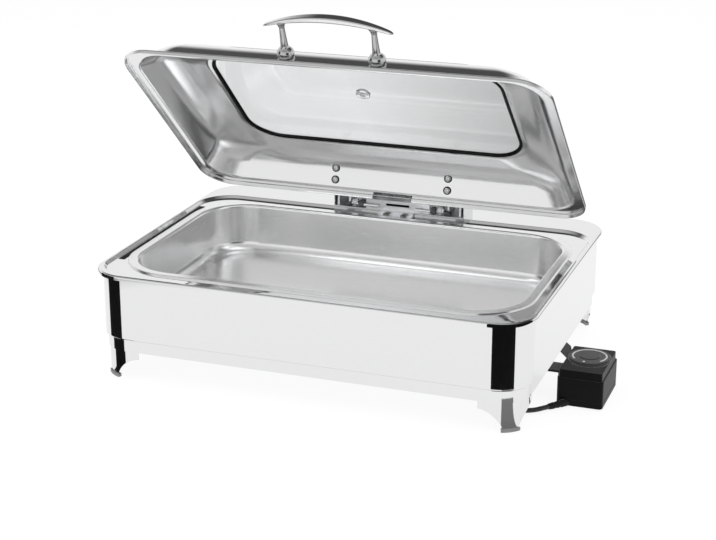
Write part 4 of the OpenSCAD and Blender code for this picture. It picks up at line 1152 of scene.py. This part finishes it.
class DISH_OT_top_frame(Operator):
    """Lofts the rim, the flat land and the lid's recess"""
    bl_idname = "dish.top_frame"
    bl_label = "Top frame"

    def execute(self, context):
        base, lid = context.scene.dish_base, context.scene.dish_lid
        # Depth and radius of the rolled rim, and the run of the sloped step down to the recess
        sheet, edge, roll, slope = 0.0012, 0.006, 0.003, 0.0038
        top, shelf = base.rim_top, base.rim_top - base.shelf
        r = base.rim_corner
        outside = rounded_profile(
            [(r, top - edge + sheet / 2), (r, top), (r - 1.1 * roll, top)], [0, roll, 0], 7)
        inside = beside(outside, -sheet)
        rim = inside[::-1] + rounded_end(inside[0], outside[0]) + outside
        rings = carried(rim, base.rim_long, base.rim_wide, r, (DISH_X, 0))
        play = 0.0012
        seat_long, seat_wide, seat_r = lid.long + 2 * play, lid.wide + 2 * play, lid.corner + play
        step = rounded_profile(
            [(seat_r + slope + 0.001, top), (seat_r + slope, top), (seat_r, shelf), (seat_r - 0.0022, shelf)],
            [0, 0.0012, 0.0016, 0], 5)
        below = beside(step, -sheet)
        centre = (DISH_X, -base.pan_front)
        room = 0.005
        mouth = (base.pan_long + 2 * room, base.pan_wide + 2 * room, base.pan_corner + room)
        rings += carried(step, seat_long, seat_wide, seat_r, centre)
        rings += [((*centre, z), *mouth) for z in (shelf, shelf - sheet)]
        rings += carried(below[::-1], seat_long, seat_wide, seat_r, centre)
        top_frame = loft("rim_sheet", rings, 16)
        smooth(top_frame, 40)
        finish_piece(top_frame, "base", "polished_steel", "top_frame")
        return {"FINISHED"}


class DISH_OT_casing(Operator):
    """Lofts the casing wall and the lower band, with their folded edges"""
    bl_idname = "dish.casing"
    bl_label = "Casing and band"

    def execute(self, context):
        base = context.scene.dish_base
        # Width of the folded edges, heights of the wall's and the band's lower edges, and the band's inset
        sheet, fold, foot, low, inset = 0.0012, 0.009, 0.054, 0.0375, 0.003
        r = base.wall_corner
        wall = rounded_profile([(r, base.rim_top - sheet), (r, foot), (r - fold, foot)], [0, 0.0018, 0], 5)
        out = r - inset
        band = rounded_profile(
            [(out, low), (out, foot - 0.0001), (out - fold, foot - 0.0001)], [0, 0.0016, 0], 5)
        for name, node, profile, side in (
                ("casing_sheet", "casing", wall, sheet), ("band_sheet", "lower_band", band, -sheet)):
            rings = carried(
                profile + beside(profile, side)[::-1], base.wall_long, base.wall_wide, r, (DISH_X, 0))
            piece = loft(name, rings, 24)
            smooth(piece, 40)
            finish_piece(piece, "base", "polished_steel", node)
        return {"FINISHED"}


class DISH_OT_finishes(Operator):
    """Gives every CAD piece its finish"""
    bl_idname = "dish.finishes"
    bl_label = "Finishes"

    def execute(self, context):
        for entry in frame["record"]["subparts"]:
            node = NODES[entry["node"]]
            node.data.materials.clear()
            node.data.materials.append(MATERIALS[entry["material_slot"]])
        return {"FINISHED"}


class DISH_PT_panel(Panel):
    """Lists the pieces and the stage"""
    bl_idname = "DISH_PT_panel"
    bl_label = "Chafing dish"
    bl_space_type = "VIEW_3D"
    bl_region_type = "UI"
    bl_category = "Chafing dish"

    def draw(self, context):
        column = self.layout.column(align=True)
        for operator in OPERATORS:
            column.operator(operator.bl_idname, text=operator.bl_label)
        for name in SIZE_GROUPS:
            rows = self.layout.box()
            group = getattr(context.scene, name)
            for key in group.__annotations__:
                rows.prop(group, key)


OPERATORS = (
    DISH_OT_stage, DISH_OT_mains_cord, DISH_OT_finishes, DISH_OT_casing, DISH_OT_top_frame, DISH_OT_food_pan,
    DISH_OT_lid_shell, DISH_OT_seal_bead, DISH_OT_handle, DISH_OT_screws, DISH_OT_soft_edges,
    DISH_OT_hinge_links,
)
CLASSES = (*SIZE_GROUPS.values(), *OPERATORS, DISH_PT_panel)


def register():
    for cls in CLASSES:
        bpy.utils.register_class(cls)
    for name, group in SIZE_GROUPS.items():
        setattr(bpy.types.Scene, name, PointerProperty(type=group))


def unregister():
    for name in SIZE_GROUPS:
        delattr(bpy.types.Scene, name)
    for cls in reversed(CLASSES):
        bpy.utils.unregister_class(cls)


def main():
    register()
    make_materials()
    bpy.ops.dish.stage()
    bpy.ops.dish.mains_cord()
    bpy.ops.dish.finishes()
    bpy.ops.dish.casing()
    bpy.ops.dish.top_frame()
    bpy.ops.dish.food_pan()
    bpy.ops.dish.lid_shell()
    bpy.ops.dish.seal_bead()
    bpy.ops.dish.handle()
    bpy.ops.dish.screws()
    bpy.ops.dish.soft_edges()
    bpy.ops.dish.hinge_links()
    clear_selection()


if __name__ == "__main__":
    main()
